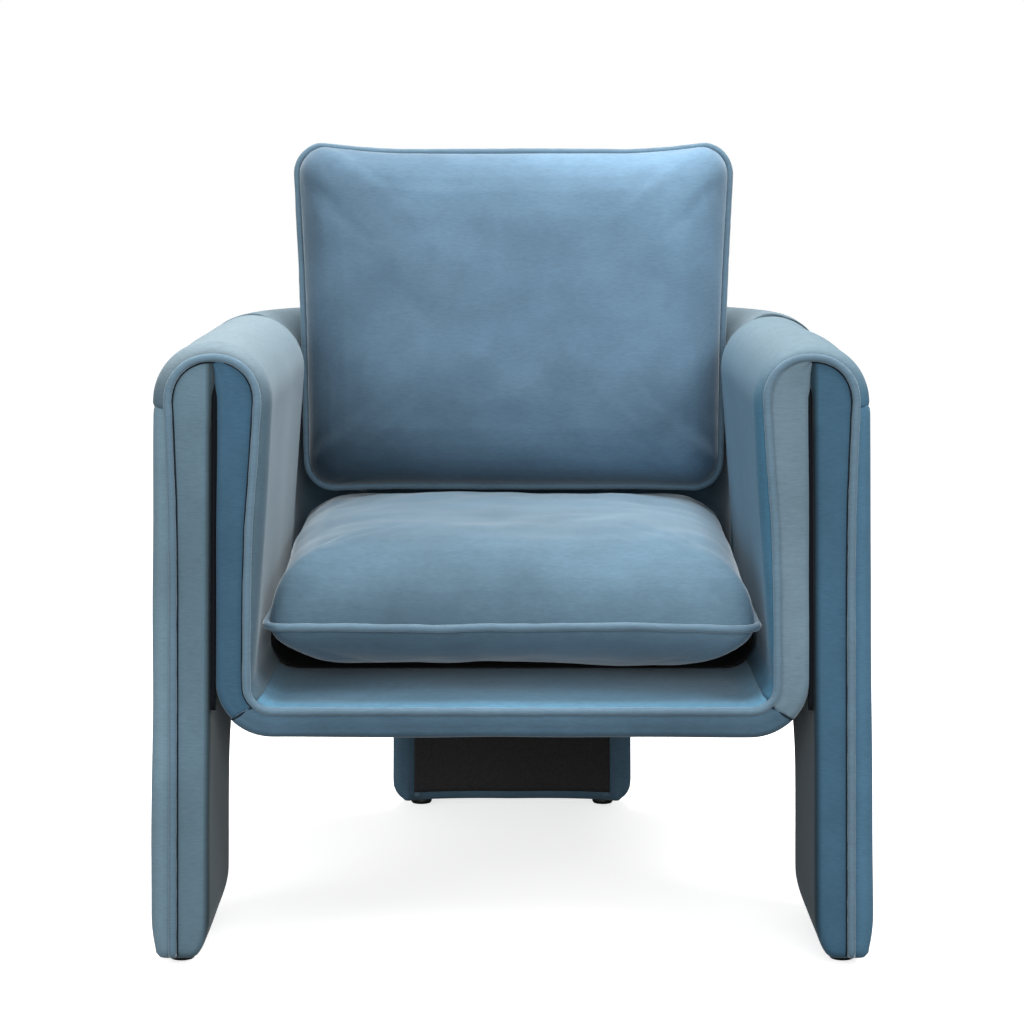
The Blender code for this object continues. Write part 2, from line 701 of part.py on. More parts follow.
# ---------------------------------------------------------------- loose cushions
def cushion_outline(spec, grow):
    """Rounded, slightly tapered outline in the cushion's own plane, grown outwards by grow."""
    length = spec["length"]
    start_r, end_r = spec["radius_start"] + grow, spec["radius_end"] + grow
    start_x, end_x = spec["half_start"] + grow - start_r, spec["half_end"] + grow - end_r
    start_v, end_v = start_r - grow, length + grow - end_r
    half = arc((start_x, start_v), start_r, 270, 360, 5) + arc((end_x, end_v), end_r, 0, 90, 5)
    left = [(-u, v) for u, v in reversed(half)]
    near_edge = [(-start_x / 3, -grow), (start_x / 3, -grow)]
    far_edge = [(end_x / 3, length + grow), (-end_x / 3, length + grow)]
    return near_edge + half + far_edge + left


def crown(ratio):
    return math.sqrt(max(0.0, 1 - ratio**CUSHION_POWER))


def cushion_cap(bm, spec, place, grow, height, lift):
    """Domed surface over the outline; returns its rings from the middle to the rim."""
    outline = cushion_outline(spec, grow)
    middle = spec["length"] / 2
    rings = [[bm.verts.new(place(0.0, middle, height + lift))]]
    for ratio in CUSHION_RINGS[1:]:
        w = height * crown(ratio) + lift
        rings.append([bm.verts.new(place(u * ratio, middle + (v - middle) * ratio, w)) for u, v in outline])
    count = len(outline)
    for i in range(count):
        j = (i + 1) % count
        bm.faces.new((rings[0][0], rings[1][i], rings[1][j]))
        for a, b in zip(rings[1:], rings[2:]):
            bm.faces.new((a[i], b[i], b[j], a[j]))
    return rings[-1]


def join_rims(bm, a, b):
    for i in range(len(a)):
        j = (i + 1) % len(a)
        bm.faces.new((a[i], a[j], b[j], b[i]))


def cushion(prefix, spec, place, parent):
    """Filling, two covers and a welt of one knife-edged cushion."""
    names = {"seat": ("top", "bottom"), "back": ("rear", "front")}[prefix]
    for word, height, sign in ((names[0], spec["rise"], 1), (names[1], spec["drop"], -1)):
        bm = bmesh.new()
        lift = sign * GAP
        outside = cushion_cap(bm, spec, place, 0.0, sign * height, lift)
        inside = cushion_cap(bm, spec, place, -COVER_T, sign * (height - COVER_T), lift)
        join_rims(bm, outside, inside)
        add_mesh(f"{prefix}_cover_{word}", bm, "velvet").parent = parent
    bm = bmesh.new()
    inset = COVER_T + 2 * GAP
    upper = cushion_cap(bm, spec, place, -inset, spec["rise"] - inset, 0.0)
    lower = cushion_cap(bm, spec, place, -inset, -(spec["drop"] - inset), 0.0)
    bmesh.ops.weld_verts(bm, targetmap=dict(zip(lower, upper)))
    add_mesh(f"{prefix}_filling", bm, "foam").parent = parent
    outline = cushion_outline(spec, CUSHION_WELT_R + GAP)
    points = [place(u, v, 0.0) for u, v in outline]
    tube(f"{prefix}_cushion_welt", points, CUSHION_WELT_R, "velvet", closed=True).parent = parent


def empty(name, location, rotation=(0.0, 0.0, 0.0), parent=None):
    made = bpy.data.objects.new(name, None)
    made.location = location
    made.rotation_euler = rotation
    made.parent = parent
    bpy.context.scene.collection.objects.link(made)
    return made


def zip_fastener(prefix, spec, at_end, place, parent):
    """Zip tape beside the rim's seam, with a slider that runs along it."""
    edge = spec["length"] + GAP if at_end else -GAP
    out = 1 if at_end else -1
    w0, w1 = ZIP_TAPE_W
    if at_end:
        w0, w1 = -w1, -w0

    def box_at(name, half_u, outwards, heights, slot, owner):
        reach = sorted(edge + out * v for v in outwards)
        bm = bmesh.new()
        verts = []
        for u in (-half_u, half_u):
            for v in reach:
                for w in heights:
                    verts.append(bm.verts.new(place(u, v, w)))
        for face in ((0, 1, 3, 2), (4, 6, 7, 5), (0, 4, 5, 1), (2, 3, 7, 6), (0, 2, 6, 4), (1, 5, 7, 3)):
            bm.faces.new([verts[i] for i in face])
        add_mesh(name, bm, slot).parent = owner

    box_at(f"{prefix}_zip_tape", ZIP_HALF, (0.0, ZIP_TAPE_T), (w0, w1), "zipper", parent)
    start = empty(f"{prefix}_zip_slide", place(-ZIP_HALF + ZIP_SLIDER_START, 0.0, 0.0), parent=parent)
    half_u, half_w = ZIP_SLIDER_HALF
    middle_w = (w0 + w1) / 2
    heights = (middle_w - half_w, middle_w + half_w)
    box_at(f"{prefix}_zip_slider", half_u, ZIP_SLIDER_OUT, heights, "spring_steel", start)


def cushions():
    seat = empty("seat_cushion_slide", (0.0, SEAT_CUSHION_Y, SEAT_SEAM_Z))

    def seat_place(u, v, w):
        return Vector((u, v, w))

    cushion("seat", SEAT_CUSHION, seat_place, seat)
    zip_fastener("seat", SEAT_CUSHION, True, seat_place, seat)

    back_pad = empty("back_cushion_lift", BACK_CUSHION_FOOT, (-LEAN, 0.0, 0.0))

    def back_place(u, v, w):
        return Vector((u, w, v))

    cushion("back", BACK_CUSHION, back_place, back_pad)
    zip_fastener("back", BACK_CUSHION, False, back_place, back_pad)


def build():
    clear_scene()
    for sign in (-1, 1):
        outer_slabs(sign)
        arm_top(sign)
        inner_side(sign)
    bucket_bottom()
    seat_frame()
    seat_springs()
    deck()
    back()
    front_welt()
    rear_leg_welts()
    glides()
    cushions()


build()
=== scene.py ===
"""The looks of the barrel-backed armchair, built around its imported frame."""

import itertools
import json
import math

import bmesh
import bpy
import numpy as np
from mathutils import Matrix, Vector, noise
from mathutils.kdtree import KDTree


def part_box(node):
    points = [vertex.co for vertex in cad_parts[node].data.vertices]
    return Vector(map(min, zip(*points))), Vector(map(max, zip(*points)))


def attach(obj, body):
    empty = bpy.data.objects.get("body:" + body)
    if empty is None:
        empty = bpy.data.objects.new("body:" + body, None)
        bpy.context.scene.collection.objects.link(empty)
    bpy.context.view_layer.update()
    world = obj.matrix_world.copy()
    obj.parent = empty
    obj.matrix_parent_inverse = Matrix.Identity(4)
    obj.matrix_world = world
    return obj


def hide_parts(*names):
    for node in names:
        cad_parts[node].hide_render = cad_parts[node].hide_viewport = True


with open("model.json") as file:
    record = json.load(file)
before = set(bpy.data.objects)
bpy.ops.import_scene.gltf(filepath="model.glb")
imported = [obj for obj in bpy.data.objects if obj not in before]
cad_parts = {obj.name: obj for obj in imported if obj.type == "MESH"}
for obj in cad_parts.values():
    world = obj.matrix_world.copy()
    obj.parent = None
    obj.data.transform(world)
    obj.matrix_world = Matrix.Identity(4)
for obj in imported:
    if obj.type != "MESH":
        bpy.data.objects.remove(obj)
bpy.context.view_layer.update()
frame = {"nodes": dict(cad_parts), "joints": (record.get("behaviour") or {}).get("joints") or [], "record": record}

# ---------------------------------------------------------------- places read from the frame
SIDE_LOW, SIDE_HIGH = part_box("outer_pad_right")
WRAP_LOW, WRAP_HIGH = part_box("arm_wrap_right")
BUCKET_LOW, BUCKET_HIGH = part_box("bucket_pad")
BACK_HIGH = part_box("outer_pad_back")[1]
LEG_PAD_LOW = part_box("leg_pad_right")[0]
REAR_LEG_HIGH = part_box("rear_leg_pad")[1]
WELT_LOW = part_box("front_welt")[0]
TROUGH_LOW, TROUGH_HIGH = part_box("trough_cover")
INNER_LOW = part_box("inner_pad_right")[0]
SEAT_LOW, SEAT_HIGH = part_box("seat_cushion_welt")
SEAT_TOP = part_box("seat_cover_top")[1].z
SEAT_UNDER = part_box("seat_cover_bottom")[0].z
REAR_WELT_LOW, REAR_WELT_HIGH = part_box("rear_leg_welt_right")

OUTER_X = SIDE_HIGH.x
SLAB_IN_X = LEG_PAD_LOW.x
FRONT_Y = WELT_LOW.y
FACE_Y = FRONT_Y + 0.0055  # front faces of the panels: the welt stands proud of them
BARREL_Y = SIDE_HIGH.y
BACK_Y = BACK_HIGH.y
WRAP_Z = WRAP_LOW.z
ARM_TOP_Z = WRAP_HIGH.z
LEG_BOTTOM_Z = SIDE_LOW.z
SPLAY_AT_FLOOR = 1.0245  # the legs stand a little wider than the arms
SPLAY_PER_METRE = 0.0520
FOOT_Z = LEG_BOTTOM_Z - 0.003  # lowest part of the padded legs
BUCKET_OUT_X = BUCKET_HIGH.x
BUCKET_BOTTOM_Z = BUCKET_LOW.z
TROUGH_Z = TROUGH_HIGH.z
TOP_IN_X = WRAP_LOW.x
LOW_IN_X = INNER_LOW.x + 0.0170
LOW_IN_Z = INNER_LOW.z
LEG_DEPTH = 0.220
ARCH_Z = 0.239
ARCH_R = 0.070
WELT_R = 0.0042
TOE_R = 0.012  # rounding of the front legs' lower front edge
HEEL_R = 0.043  # rounding of their lower rear edge
SLIT_X = 0.3062  # middle of the slit between the bucket's side and the slab
SLIT_CORD_R = 0.0028
SEAM_OFFSET = 0.0048  # from the welt's middle to the seam beside it
CLOTH_CAP = 0.022  # furthest a point may move in the simulation
CLOTH_SHARE = 0.24  # part of that movement that is kept
CLOTH_PRESSURE = 4.0
REAR_WELT_X = (REAR_WELT_LOW.x + REAR_WELT_HIGH.x) / 2
BACK_IN_X = 0.2645
BACK_IN_DEPTH = 0.200
BACK_OUT_POWER = 2.4
BACK_IN_POWER = 4.0
VOXEL = 0.0045


# ---------------------------------------------------------------- materials
def principled(name):
    made = bpy.data.materials.new(name)
    made.use_nodes = True
    nodes, links = made.node_tree.nodes, made.node_tree.links
    return made, nodes, links, nodes["Principled BSDF"]


def noise_node(nodes, links, coords, scale, detail, roughness=0.5):
    tex = nodes.new("ShaderNodeTexNoise")
    tex.inputs["Scale"].default_value = scale
    tex.inputs["Detail"].default_value = detail
    tex.inputs["Roughness"].default_value = roughness
    links.new(coords, tex.inputs["Vector"])
    return tex.outputs["Fac"]


def ramp(nodes, links, value, stops):
    node = nodes.new("ShaderNodeValToRGB")
    band = node.color_ramp
    while len(band.elements) < len(stops):
        band.elements.new(0.5)
    for element, (place, colour) in zip(band.elements, stops):
        element.position = place
        element.color = (*colour, 1.0)
    links.new(value, node.inputs["Fac"])
    return node.outputs["Color"]


def shade(colour, factor):
    return tuple(min(1.0, c * factor) for c in colour)


def painted_top_light_share(nodes, links, coords):
    """0 under an arm's rolled top and 1 on it: the share of the paler top colour, a painted highlight standing in
    for light from above.
    """
    split = nodes.new("ShaderNodeSeparateXYZ")
    links.new(coords, split.inputs["Vector"])
    share = ranged(nodes, links, split.outputs["Z"], WRAP_Z - 0.010, ARM_TOP_Z)
    share.interpolation_type = "SMOOTHSTEP"
    return share.outputs["Result"]


def math_node(nodes, links, operation, *values):
    """One arithmetic node; each value is a socket or a number."""
    node = nodes.new("ShaderNodeMath")
    node.operation = operation
    for value, socket in zip(values, node.inputs):
        if isinstance(value, float):
            socket.default_value = value
        else:
            links.new(value, socket)
    return node.outputs["Value"]


def ranged(nodes, links, value, start, end):
    share = nodes.new("ShaderNodeMapRange")
    share.inputs["From Min"].default_value = start
    share.inputs["From Max"].default_value = end
    links.new(value, share.inputs["Value"])
    return share


def slab_tone(nodes, links, coords):
    """Tone across a slab, dark inside and pale outside. It stands in for uneven light."""
    split = nodes.new("ShaderNodeSeparateXYZ")
    links.new(coords, split.inputs["Vector"])
    away = math_node(nodes, links, "ABSOLUTE", split.outputs["X"])
    splay_here = math_node(nodes, links, "MULTIPLY_ADD", split.outputs["Z"], -SPLAY_PER_METRE, SPLAY_AT_FLOOR)
    unsplayed = math_node(nodes, links, "DIVIDE", away, splay_here)
    share = ranged(nodes, links, unsplayed, SLAB_IN_X, OUTER_X)
    stops = [
        (0.02, (0.30, 0.30, 0.28)),
        (0.11, (1.0, 1.0, 1.0)),
        (0.62, (1.0, 1.0, 1.0)),
        (0.72, (1.46, 1.42, 1.38)),
    ]
    return ramp(nodes, links, share.outputs["Result"], stops)


def side_tone(nodes, links, coords, tone):
    """Tone along one direction. It stands in for uneven light, and stays in any other light."""
    direction, start, end, stops = tone
    along = nodes.new("ShaderNodeVectorMath")
    along.operation = "DOT_PRODUCT"
    links.new(coords, along.inputs[0])
    along.inputs[1].default_value = direction
    share = ranged(nodes, links, along.outputs["Value"], start, end)
    return ramp(nodes, links, share.outputs["Result"], [(at, (grey, grey, grey)) for at, grey in stops])


def mixed(nodes, links, share, colour, other):
    mix = nodes.new("ShaderNodeMix")
    mix.data_type = "RGBA"
    links.new(share, mix.inputs["Factor"])
    links.new(colour, mix.inputs["A"])
    mix.inputs["B"].default_value = (*other, 1.0)
    return mix.outputs["Result"]


PALE_TINT = (0.86, 0.95, 1.0, 1.0)


def multiplied(nodes, links, colour, factor):
    mix = nodes.new("ShaderNodeMix")
    mix.data_type = "RGBA"
    mix.blend_type = "MULTIPLY"
    mix.inputs["Factor"].default_value = 1.0
    links.new(colour, mix.inputs["A"])
    links.new(factor, mix.inputs["B"])
    return mix.outputs["Result"]


def velvet(name, base, contrast=0.16, sheen=0.45, top=None, slab=False, tone=None):
    """Short-pile velvet: cloudy nap, fine pile grain and a pale sheen at grazing angles."""
    made, nodes, links, shader = principled(name)
    coords = nodes.new("ShaderNodeTexCoord").outputs["Object"]
    clouds = noise_node(nodes, links, coords, 5.5, 3.0, 0.55)
    colour = ramp(
        nodes,
        links,
        clouds,
        [(0.30, shade(base, 1 - contrast)), (0.52, base), (0.72, shade(base, 1 + contrast))],
    )
    # the paler top colour is painted light: a painted highlight on the arm tops and the back's roll
    if top is not None:
        colour = mixed(nodes, links, painted_top_light_share(nodes, links, coords), colour, top)
    if slab:
        colour = multiplied(nodes, links, colour, slab_tone(nodes, links, coords))
    if tone:
        colour = multiplied(nodes, links, colour, side_tone(nodes, links, coords, tone))
    streaks = noise_node(nodes, links, coords, 38.0, 4.0, 0.65)
    grain = ramp(nodes, links, streaks, [(0.25, (0.90, 0.90, 0.90)), (0.75, (1.0, 1.0, 1.0))])
    colour = multiplied(nodes, links, colour, grain)
    mapping = nodes.new("ShaderNodeMapping")
    mapping.inputs["Scale"].default_value = (110.0, 110.0, 560.0)
    links.new(coords, mapping.inputs["Vector"])
    weave = noise_node(nodes, links, mapping.outputs["Vector"], 1.0, 3.0, 0.7)
    threads = ramp(nodes, links, weave, [(0.30, (0.84, 0.84, 0.84)), (0.70, (1.0, 1.0, 1.0))])
    colour = multiplied(nodes, links, colour, threads)
    links.new(colour, shader.inputs["Base Color"])
    rough = nodes.new("ShaderNodeMapRange")
    rough.inputs["To Min"].default_value = 0.78
    rough.inputs["To Max"].default_value = 0.96
    links.new(clouds, rough.inputs["Value"])
    links.new(rough.outputs["Result"], shader.inputs["Roughness"])
    shader.inputs["Specular IOR Level"].default_value = 0.15
    shader.inputs["Sheen Weight"].default_value = sheen
    shader.inputs["Sheen Roughness"].default_value = 0.35
    shader.inputs["Sheen Tint"].default_value = PALE_TINT
    pile = noise_node(nodes, links, coords, 1400.0, 2.0)
    bump = nodes.new("ShaderNodeBump")
    bump.inputs["Strength"].default_value = 0.22
    bump.inputs["Distance"].default_value = 0.0006
    links.new(pile, bump.inputs["Height"])
    links.new(bump.outputs["Normal"], shader.inputs["Normal"])
    return made


def plain_surface(name, base, roughness, metallic=0.0, scale=60.0, contrast=0.12, bump_mm=0.2, stretch=None):
    """A surface with fine colour variation and grain, for the pieces that aren't velvet."""
    made, nodes, links, shader = principled(name)
    coords = nodes.new("ShaderNodeTexCoord").outputs["Object"]
    if stretch is not None:
        mapping = nodes.new("ShaderNodeMapping")
        mapping.inputs["Scale"].default_value = stretch
        links.new(coords, mapping.inputs["Vector"])
        coords = mapping.outputs["Vector"]
    grain = noise_node(nodes, links, coords, scale, 4.0, 0.6)
    colour = ramp(nodes, links, grain, [(0.3, shade(base, 1 - contrast)), (0.7, shade(base, 1 + contrast))])
    links.new(colour, shader.inputs["Base Color"])
    shader.inputs["Roughness"].default_value = roughness
    shader.inputs["Metallic"].default_value = metallic
    bump = nodes.new("ShaderNodeBump")
    bump.inputs["Strength"].default_value = 0.4
    bump.inputs["Distance"].default_value = bump_mm / 1000
    links.new(grain, bump.inputs["Height"])
    links.new(bump.outputs["Normal"], shader.inputs["Normal"])
    return made


# The seat cushion is given a paler right side, and the back cushion a paler upper right and a dark lower left,
# a painted shadow of the arm. Left and right fabrics differ in base colour too, and each fabric below is a lit or
# shaded copy of the same velvet. All of it is painted light and shade standing in for side light: the cloth itself
# is one colour.
SEAT_TONE = ((1.0, 0.0, 0.0), -0.24, 0.24, [(0.0, 0.90), (0.5, 1.0), (0.85, 1.32), (1.0, 1.30)])
PILLOW_STOPS = [(0.0, 0.35), (0.14, 0.72), (0.36, 0.97), (0.65, 1.02), (0.95, 1.42)]
PILLOW_TONE = ((1.0, 0.0, 1.15), 0.32, 1.12, PILLOW_STOPS)
FABRIC = {
    "slab_left": velvet("velvet_slab_left", (0.130, 0.210, 0.267), 0.14, 0.25, slab=True),
    "slab_right": velvet("velvet_slab_right", (0.058, 0.138, 0.215), 0.14, 0.25, slab=True),
    "arm_left": velvet("velvet_arm_left", (0.098, 0.160, 0.204), 0.12, 0.22, top=(0.225, 0.305, 0.350)),
    "arm_right": velvet("velvet_arm_right", (0.064, 0.176, 0.272), 0.12, 0.08, top=(0.18, 0.26, 0.31)),
    "band_left": velvet("velvet_band_left", (0.052, 0.124, 0.196)),
    "band_right": velvet("velvet_band_right", (0.168, 0.250, 0.310)),
    "band_bottom": velvet("velvet_band_bottom", (0.079, 0.148, 0.210)),
    "trough": velvet("velvet_trough", (0.116, 0.270, 0.395), 0.14, 0.22),
    "lining": velvet("velvet_lining", (0.105, 0.185, 0.250), 0.14, 0.22, top=(0.18, 0.25, 0.29)),
    "shell": velvet("velvet_shell", (0.105, 0.195, 0.275)),
    "seat": velvet("velvet_seat", (0.108, 0.184, 0.247), 0.18, tone=SEAT_TONE),
    "pillow": velvet("velvet_pillow", (0.120, 0.205, 0.290), 0.20, tone=PILLOW_TONE),
    "welt": velvet("velvet_welt", (0.140, 0.228, 0.300), 0.10, 0.7),
    # near-black velvet for the dark cords along seams: painted shade, standing for the shade in the seams
    "seam": velvet("velvet_seam_shadow", (0.012, 0.022, 0.032), 0.10, 0.0),
    # near-black velvet for the cords in the slits: painted shade, standing for the shade in the slits
    "slit": velvet("velvet_slit_shadow", (0.003, 0.005, 0.008), 0.10, 0.0),
}


FINISH = {
    "wood": plain_surface("birch_ply", (0.56, 0.40, 0.24), 0.6, scale=22.0, contrast=0.25, stretch=(1, 8, 8)),
    "spring_steel": plain_surface("spring_wire", (0.42, 0.43, 0.45), 0.35, 1.0, 300.0, 0.10, 0.05),
    "platform_cloth": plain_surface("platform_cloth", (0.010, 0.010, 0.012), 0.95, 0.0, 700.0, 0.4, 0.3),
    "dust_cloth": plain_surface("dust_cloth", (0.028, 0.028, 0.030), 0.95, 0.0, 500.0, 0.35, 0.3),
    "glide_plastic": plain_surface("glide_plastic", (0.010, 0.010, 0.011), 0.42, 0.0, 180.0, 0.2, 0.1),
    "zipper": plain_surface("zip_tape", (0.060, 0.110, 0.160), 0.8, 0.0, 900.0, 0.25, 0.3),
    "slider_metal": plain_surface("slider_metal", (0.030, 0.036, 0.042), 0.55, 0.6, 300.0, 0.15, 0.05),
    "foam": plain_surface("foam", (0.80, 0.74, 0.58), 0.95, 0.0, 400.0, 0.12, 0.4),
    "velvet": FABRIC["shell"],
}


# ---------------------------------------------------------------- camera, floor and light
def make_camera():
    data = bpy.data.cameras.new("camera")
    data.lens = 94.54
    data.sensor_width = 36.0
    data.shift_y = -0.080
    cam = bpy.data.objects.new("camera", data)
    cam.location = (0.0, FRONT_Y - 2.727, 0.850)
    cam.rotation_euler = (math.radians(90 - 5.964), 0.0, 0.0)
    bpy.context.scene.collection.objects.link(cam)
    bpy.context.scene.camera = cam


def area_light(name, location, target, size, power, colour=(1.0, 1.0, 1.0)):
    data = bpy.data.lights.new(name, "AREA")
    data.shape = "DISK"
    data.size = size
    data.energy = power
    data.color = colour
    light = bpy.data.objects.new(name, data)
    light.location = location
    direction = Vector(target) - Vector(location)
    light.rotation_euler = direction.to_track_quat("-Z", "Y").to_euler()
    bpy.context.scene.collection.objects.link(light)


def make_stage():
    bm = bmesh.new()
    bmesh.ops.create_grid(bm, x_segments=1, y_segments=1, size=12.0)
    mesh = bpy.data.meshes.new("floor")
    bm.to_mesh(mesh)
    bm.free()
    floor = bpy.data.objects.new("floor", mesh)
    bpy.context.scene.collection.objects.link(floor)
    paint, nodes, links, shader = principled("pale_floor")
    seen = nodes.new("ShaderNodeLightPath").outputs["Is Camera Ray"]
    mix = nodes.new("ShaderNodeMix")
    mix.data_type = "RGBA"
    mix.inputs["A"].default_value = (0.12, 0.12, 0.12, 1.0)
    mix.inputs["B"].default_value = (0.95, 0.95, 0.95, 1.0)
    links.new(seen, mix.inputs["Factor"])
    links.new(mix.outputs["Result"], shader.inputs["Base Color"])
    shader.inputs["Roughness"].default_value = 0.8
    shader.inputs["Emission Color"].default_value = (1.0, 1.0, 1.0, 1.0)
    glow = nodes.new("ShaderNodeMath")
    glow.operation = "MULTIPLY"
    glow.inputs[1].default_value = 0.70
    links.new(seen, glow.inputs[0])
    links.new(glow.outputs["Value"], shader.inputs["Emission Strength"])
    mesh.materials.append(paint)
    world = bpy.data.worlds.new("studio")
    bpy.context.scene.world = world
    world.use_nodes = True
    nodes, links = world.node_tree.nodes, world.node_tree.links
    background = nodes["Background"]
    background.inputs["Color"].default_value = (1.0, 1.0, 1.0, 1.0)
    seen = nodes.new("ShaderNodeLightPath").outputs["Is Camera Ray"]
    strength = nodes.new("ShaderNodeMapRange")
    strength.inputs["To Min"].default_value = 0.34
    strength.inputs["To Max"].default_value = 1.0
    links.new(seen, strength.inputs["Value"])
    links.new(strength.outputs["Result"], background.inputs["Strength"])
    area_light("key", (2.3, -1.9, 2.7), (0.0, 0.0, 0.4), 1.5, 52.0)
    area_light("fill", (-2.6, -2.4, 1.5), (0.0, 0.0, 0.4), 2.0, 38.0)
    area_light("front", (0.3, -3.7, 1.35), (0.0, 0.0, 0.35), 2.2, 58.0)
    area_light("top", (0.0, 0.3, 3.2), (0.0, 0.1, 0.5), 2.0, 120.0)
    bpy.context.scene.view_settings.view_transform = "Standard"


# ---------------------------------------------------------------- mesh helpers
def move_points(mesh, function):
    count = len(mesh.vertices)
    flat = np.empty(count * 3)
    mesh.vertices.foreach_get("co", flat)
    points = function(flat.reshape(-1, 3))
    mesh.vertices.foreach_set("co", points.reshape(-1))
    mesh.update()


def splay(points):
    """The chair stands a little wider at its feet than at its arms."""
    out = points.copy()
    out[:, 0] *= SPLAY_AT_FLOOR - SPLAY_PER_METRE * np.clip(points[:, 2], 0.0, 0.70)
    return out


def new_piece(name, mesh, material, body, nodes=()):
    """Link a piece, shade it, tie it to its body and hide the nodes it stands for."""
    if body == "chair":
        move_points(mesh, splay)
    obj = bpy.data.objects.new(name, mesh)
    bpy.context.scene.collection.objects.link(obj)
    mesh.materials.clear()
    mesh.materials.append(material)
    mesh.shade_smooth()
    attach(obj, body)
    if nodes:
        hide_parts(*nodes)
    return obj


def mesh_from_bmesh(name, bm):
    bmesh.ops.recalc_face_normals(bm, faces=bm.faces)
    mesh = bpy.data.meshes.new(name)
    bm.to_mesh(mesh)
    bm.free()
    return mesh


def grid_normals(points):
    along = np.gradient(points, axis=0)
    across = np.gradient(points, axis=1)
    normal = np.cross(along, across)
    length = np.linalg.norm(normal, axis=2, keepdims=True)
    return normal / np.maximum(length, 1e-9)


def undulate(points, amount, size, seed, fade=None):
    """Push a grid of points in and out along its normals by a slow, even noise."""
    normals = grid_normals(points)
    moved = points.copy()
    for i in range(points.shape[0]):
        for j in range(points.shape[1]):
            p = Vector(points[i, j]) / size + Vector((seed, seed * 0.7, 0.0))
            keep = 1.0 if fade is None else fade[i, j]
            moved[i, j] += normals[i, j] * noise.noise(p) * amount * keep
    return moved


def skin(name, points, thickness=0.0016):
    """Cloth of real thickness over a grid of points; its outside is the grid itself."""
    rows, columns = points.shape[:2]
    normals = grid_normals(points)
    bm = bmesh.new()
    outside = [[bm.verts.new(points[i, j]) for j in range(columns)] for i in range(rows)]
    inside = [
        [bm.verts.new(points[i, j] - normals[i, j] * thickness) for j in range(columns)] for i in range(rows)
    ]
    for i in range(rows - 1):
        for j in range(columns - 1):
            bm.faces.new((outside[i][j], outside[i + 1][j], outside[i + 1][j + 1], outside[i][j + 1]))
            bm.faces.new((inside[i][j], inside[i][j + 1], inside[i + 1][j + 1], inside[i + 1][j]))
    border = [(0, j) for j in range(columns)] + [(i, columns - 1) for i in range(1, rows)]
    border += [(rows - 1, j) for j in range(columns - 2, -1, -1)] + [(i, 0) for i in range(rows - 2, 0, -1)]
    for (ia, ja), (ib, jb) in zip(border, border[1:] + border[:1]):
        bm.faces.new((outside[ia][ja], outside[ib][jb], inside[ib][jb], inside[ia][ja]))
    return mesh_from_bmesh(name, bm)


def arc(centre, radius, start_deg, end_deg, steps):
    turn = np.radians(np.linspace(start_deg, end_deg, steps + 1))
    return [(centre[0] + radius * math.cos(a), centre[1] + radius * math.sin(a)) for a in turn]


def resample(points, spacing):
    """The same line with evenly spaced points."""
    points = np.array(points, float)
    steps = np.linalg.norm(np.diff(points, axis=0), axis=1)
    along = np.concatenate(([0.0], np.cumsum(steps)))
    count = max(2, int(round(along[-1] / spacing)) + 1)
    wanted = np.linspace(0.0, along[-1], count)
    return np.stack([np.interp(wanted, along, points[:, k]) for k in range(points.shape[1])], axis=1)


def line_normals(line):
    """Unit normals to the left of a 2-D line."""
    along = np.gradient(line, axis=0)
    along /= np.linalg.norm(along, axis=1, keepdims=True)
    return np.stack([-along[:, 1], along[:, 0]], axis=1)


def mirrored(points, sign):
    out = points.copy()
    out[..., 0] *= sign
    return out


def tube_mesh(name, path, radius, sides=12, closed=False, wobble=0.0, seed=0.0):
    """A round cord along the points, with a slight unevenness and closed ends."""
    path = np.array(path, float)
    count = len(path)
    along = np.gradient(path, axis=0)
    if closed:
        along = np.roll(path, -1, axis=0) - np.roll(path, 1, axis=0)
    along /= np.linalg.norm(along, axis=1, keepdims=True)
    bm = bmesh.new()
    rings = []
    side = Vector(along[0]).orthogonal().normalized()
    for point, tangent in zip(path, along):
        tangent = Vector(tangent)
        side = (side - tangent * side.dot(tangent)).normalized()
        other = tangent.cross(side)
        swell = 1 + wobble * noise.noise(Vector(point) * 60 + Vector((seed, 0, 0)))
        ring = []
        for k in range(sides):
            a = 2 * math.pi * k / sides
            outwards = side * math.cos(a) + other * math.sin(a)
            ring.append(bm.verts.new(Vector(point) + outwards * radius * swell))
        rings.append(ring)
    pairs = list(zip(rings, rings[1:]))
    if closed:
        first, last = rings[0], rings[-1]
        offset = min(range(sides), key=lambda s: (last[0].co - first[s].co).length)
        pairs.append((last, first[offset:] + first[:offset]))
    for a, b in pairs:
        for k in range(sides):
            m = (k + 1) % sides
            bm.faces.new((a[k], a[m], b[m], b[k]))
    if not closed:
        bm.faces.new(rings[0])
        bm.faces.new(rings[-1])
    return mesh_from_bmesh(name, bm)


# ---------------------------------------------------------------- lines that the panels share
def welt_line():
    """Centre of the front welt on the right side, from foot to the middle of the trough (x, z)."""
    low = TROUGH_Z - 0.0065
    points = [(0.3458, FOOT_Z + 0.0055), (0.3475, 0.41), (0.3490, 0.49), (0.3525, WRAP_Z - 0.020)]
    half, rise = 0.0462, 0.0462
    middle, base = 0.3078, WRAP_Z + 0.0058
    for a in np.linspace(0, math.pi, 25):
        x = math.copysign(abs(math.cos(a)) ** 0.92, math.cos(a))
        points.append((middle + half * x, base + rise * math.sin(a) ** 0.92))
    points += [(0.2650, 0.534), (0.2700, 0.464), (0.2716, 0.394), (0.2718, low + 0.042)]
    turn = 0.027
    points += arc((0.2718 - turn, low + turn), turn, 0, -90, 8)[1:]
    points.append((0.0, low))
    return resample(points, 0.004)


WELT_LINE = welt_line()
TOP_INDEX = int(np.argmax(WELT_LINE[:, 1]))


def inner_face_x(z):
    """Inner face of the bucket: it leans outwards downwards."""
    share = (WRAP_Z - z) / (WRAP_Z - LOW_IN_Z)
    return TOP_IN_X + (LOW_IN_X - TOP_IN_X) * share


CORNER_R = 0.032


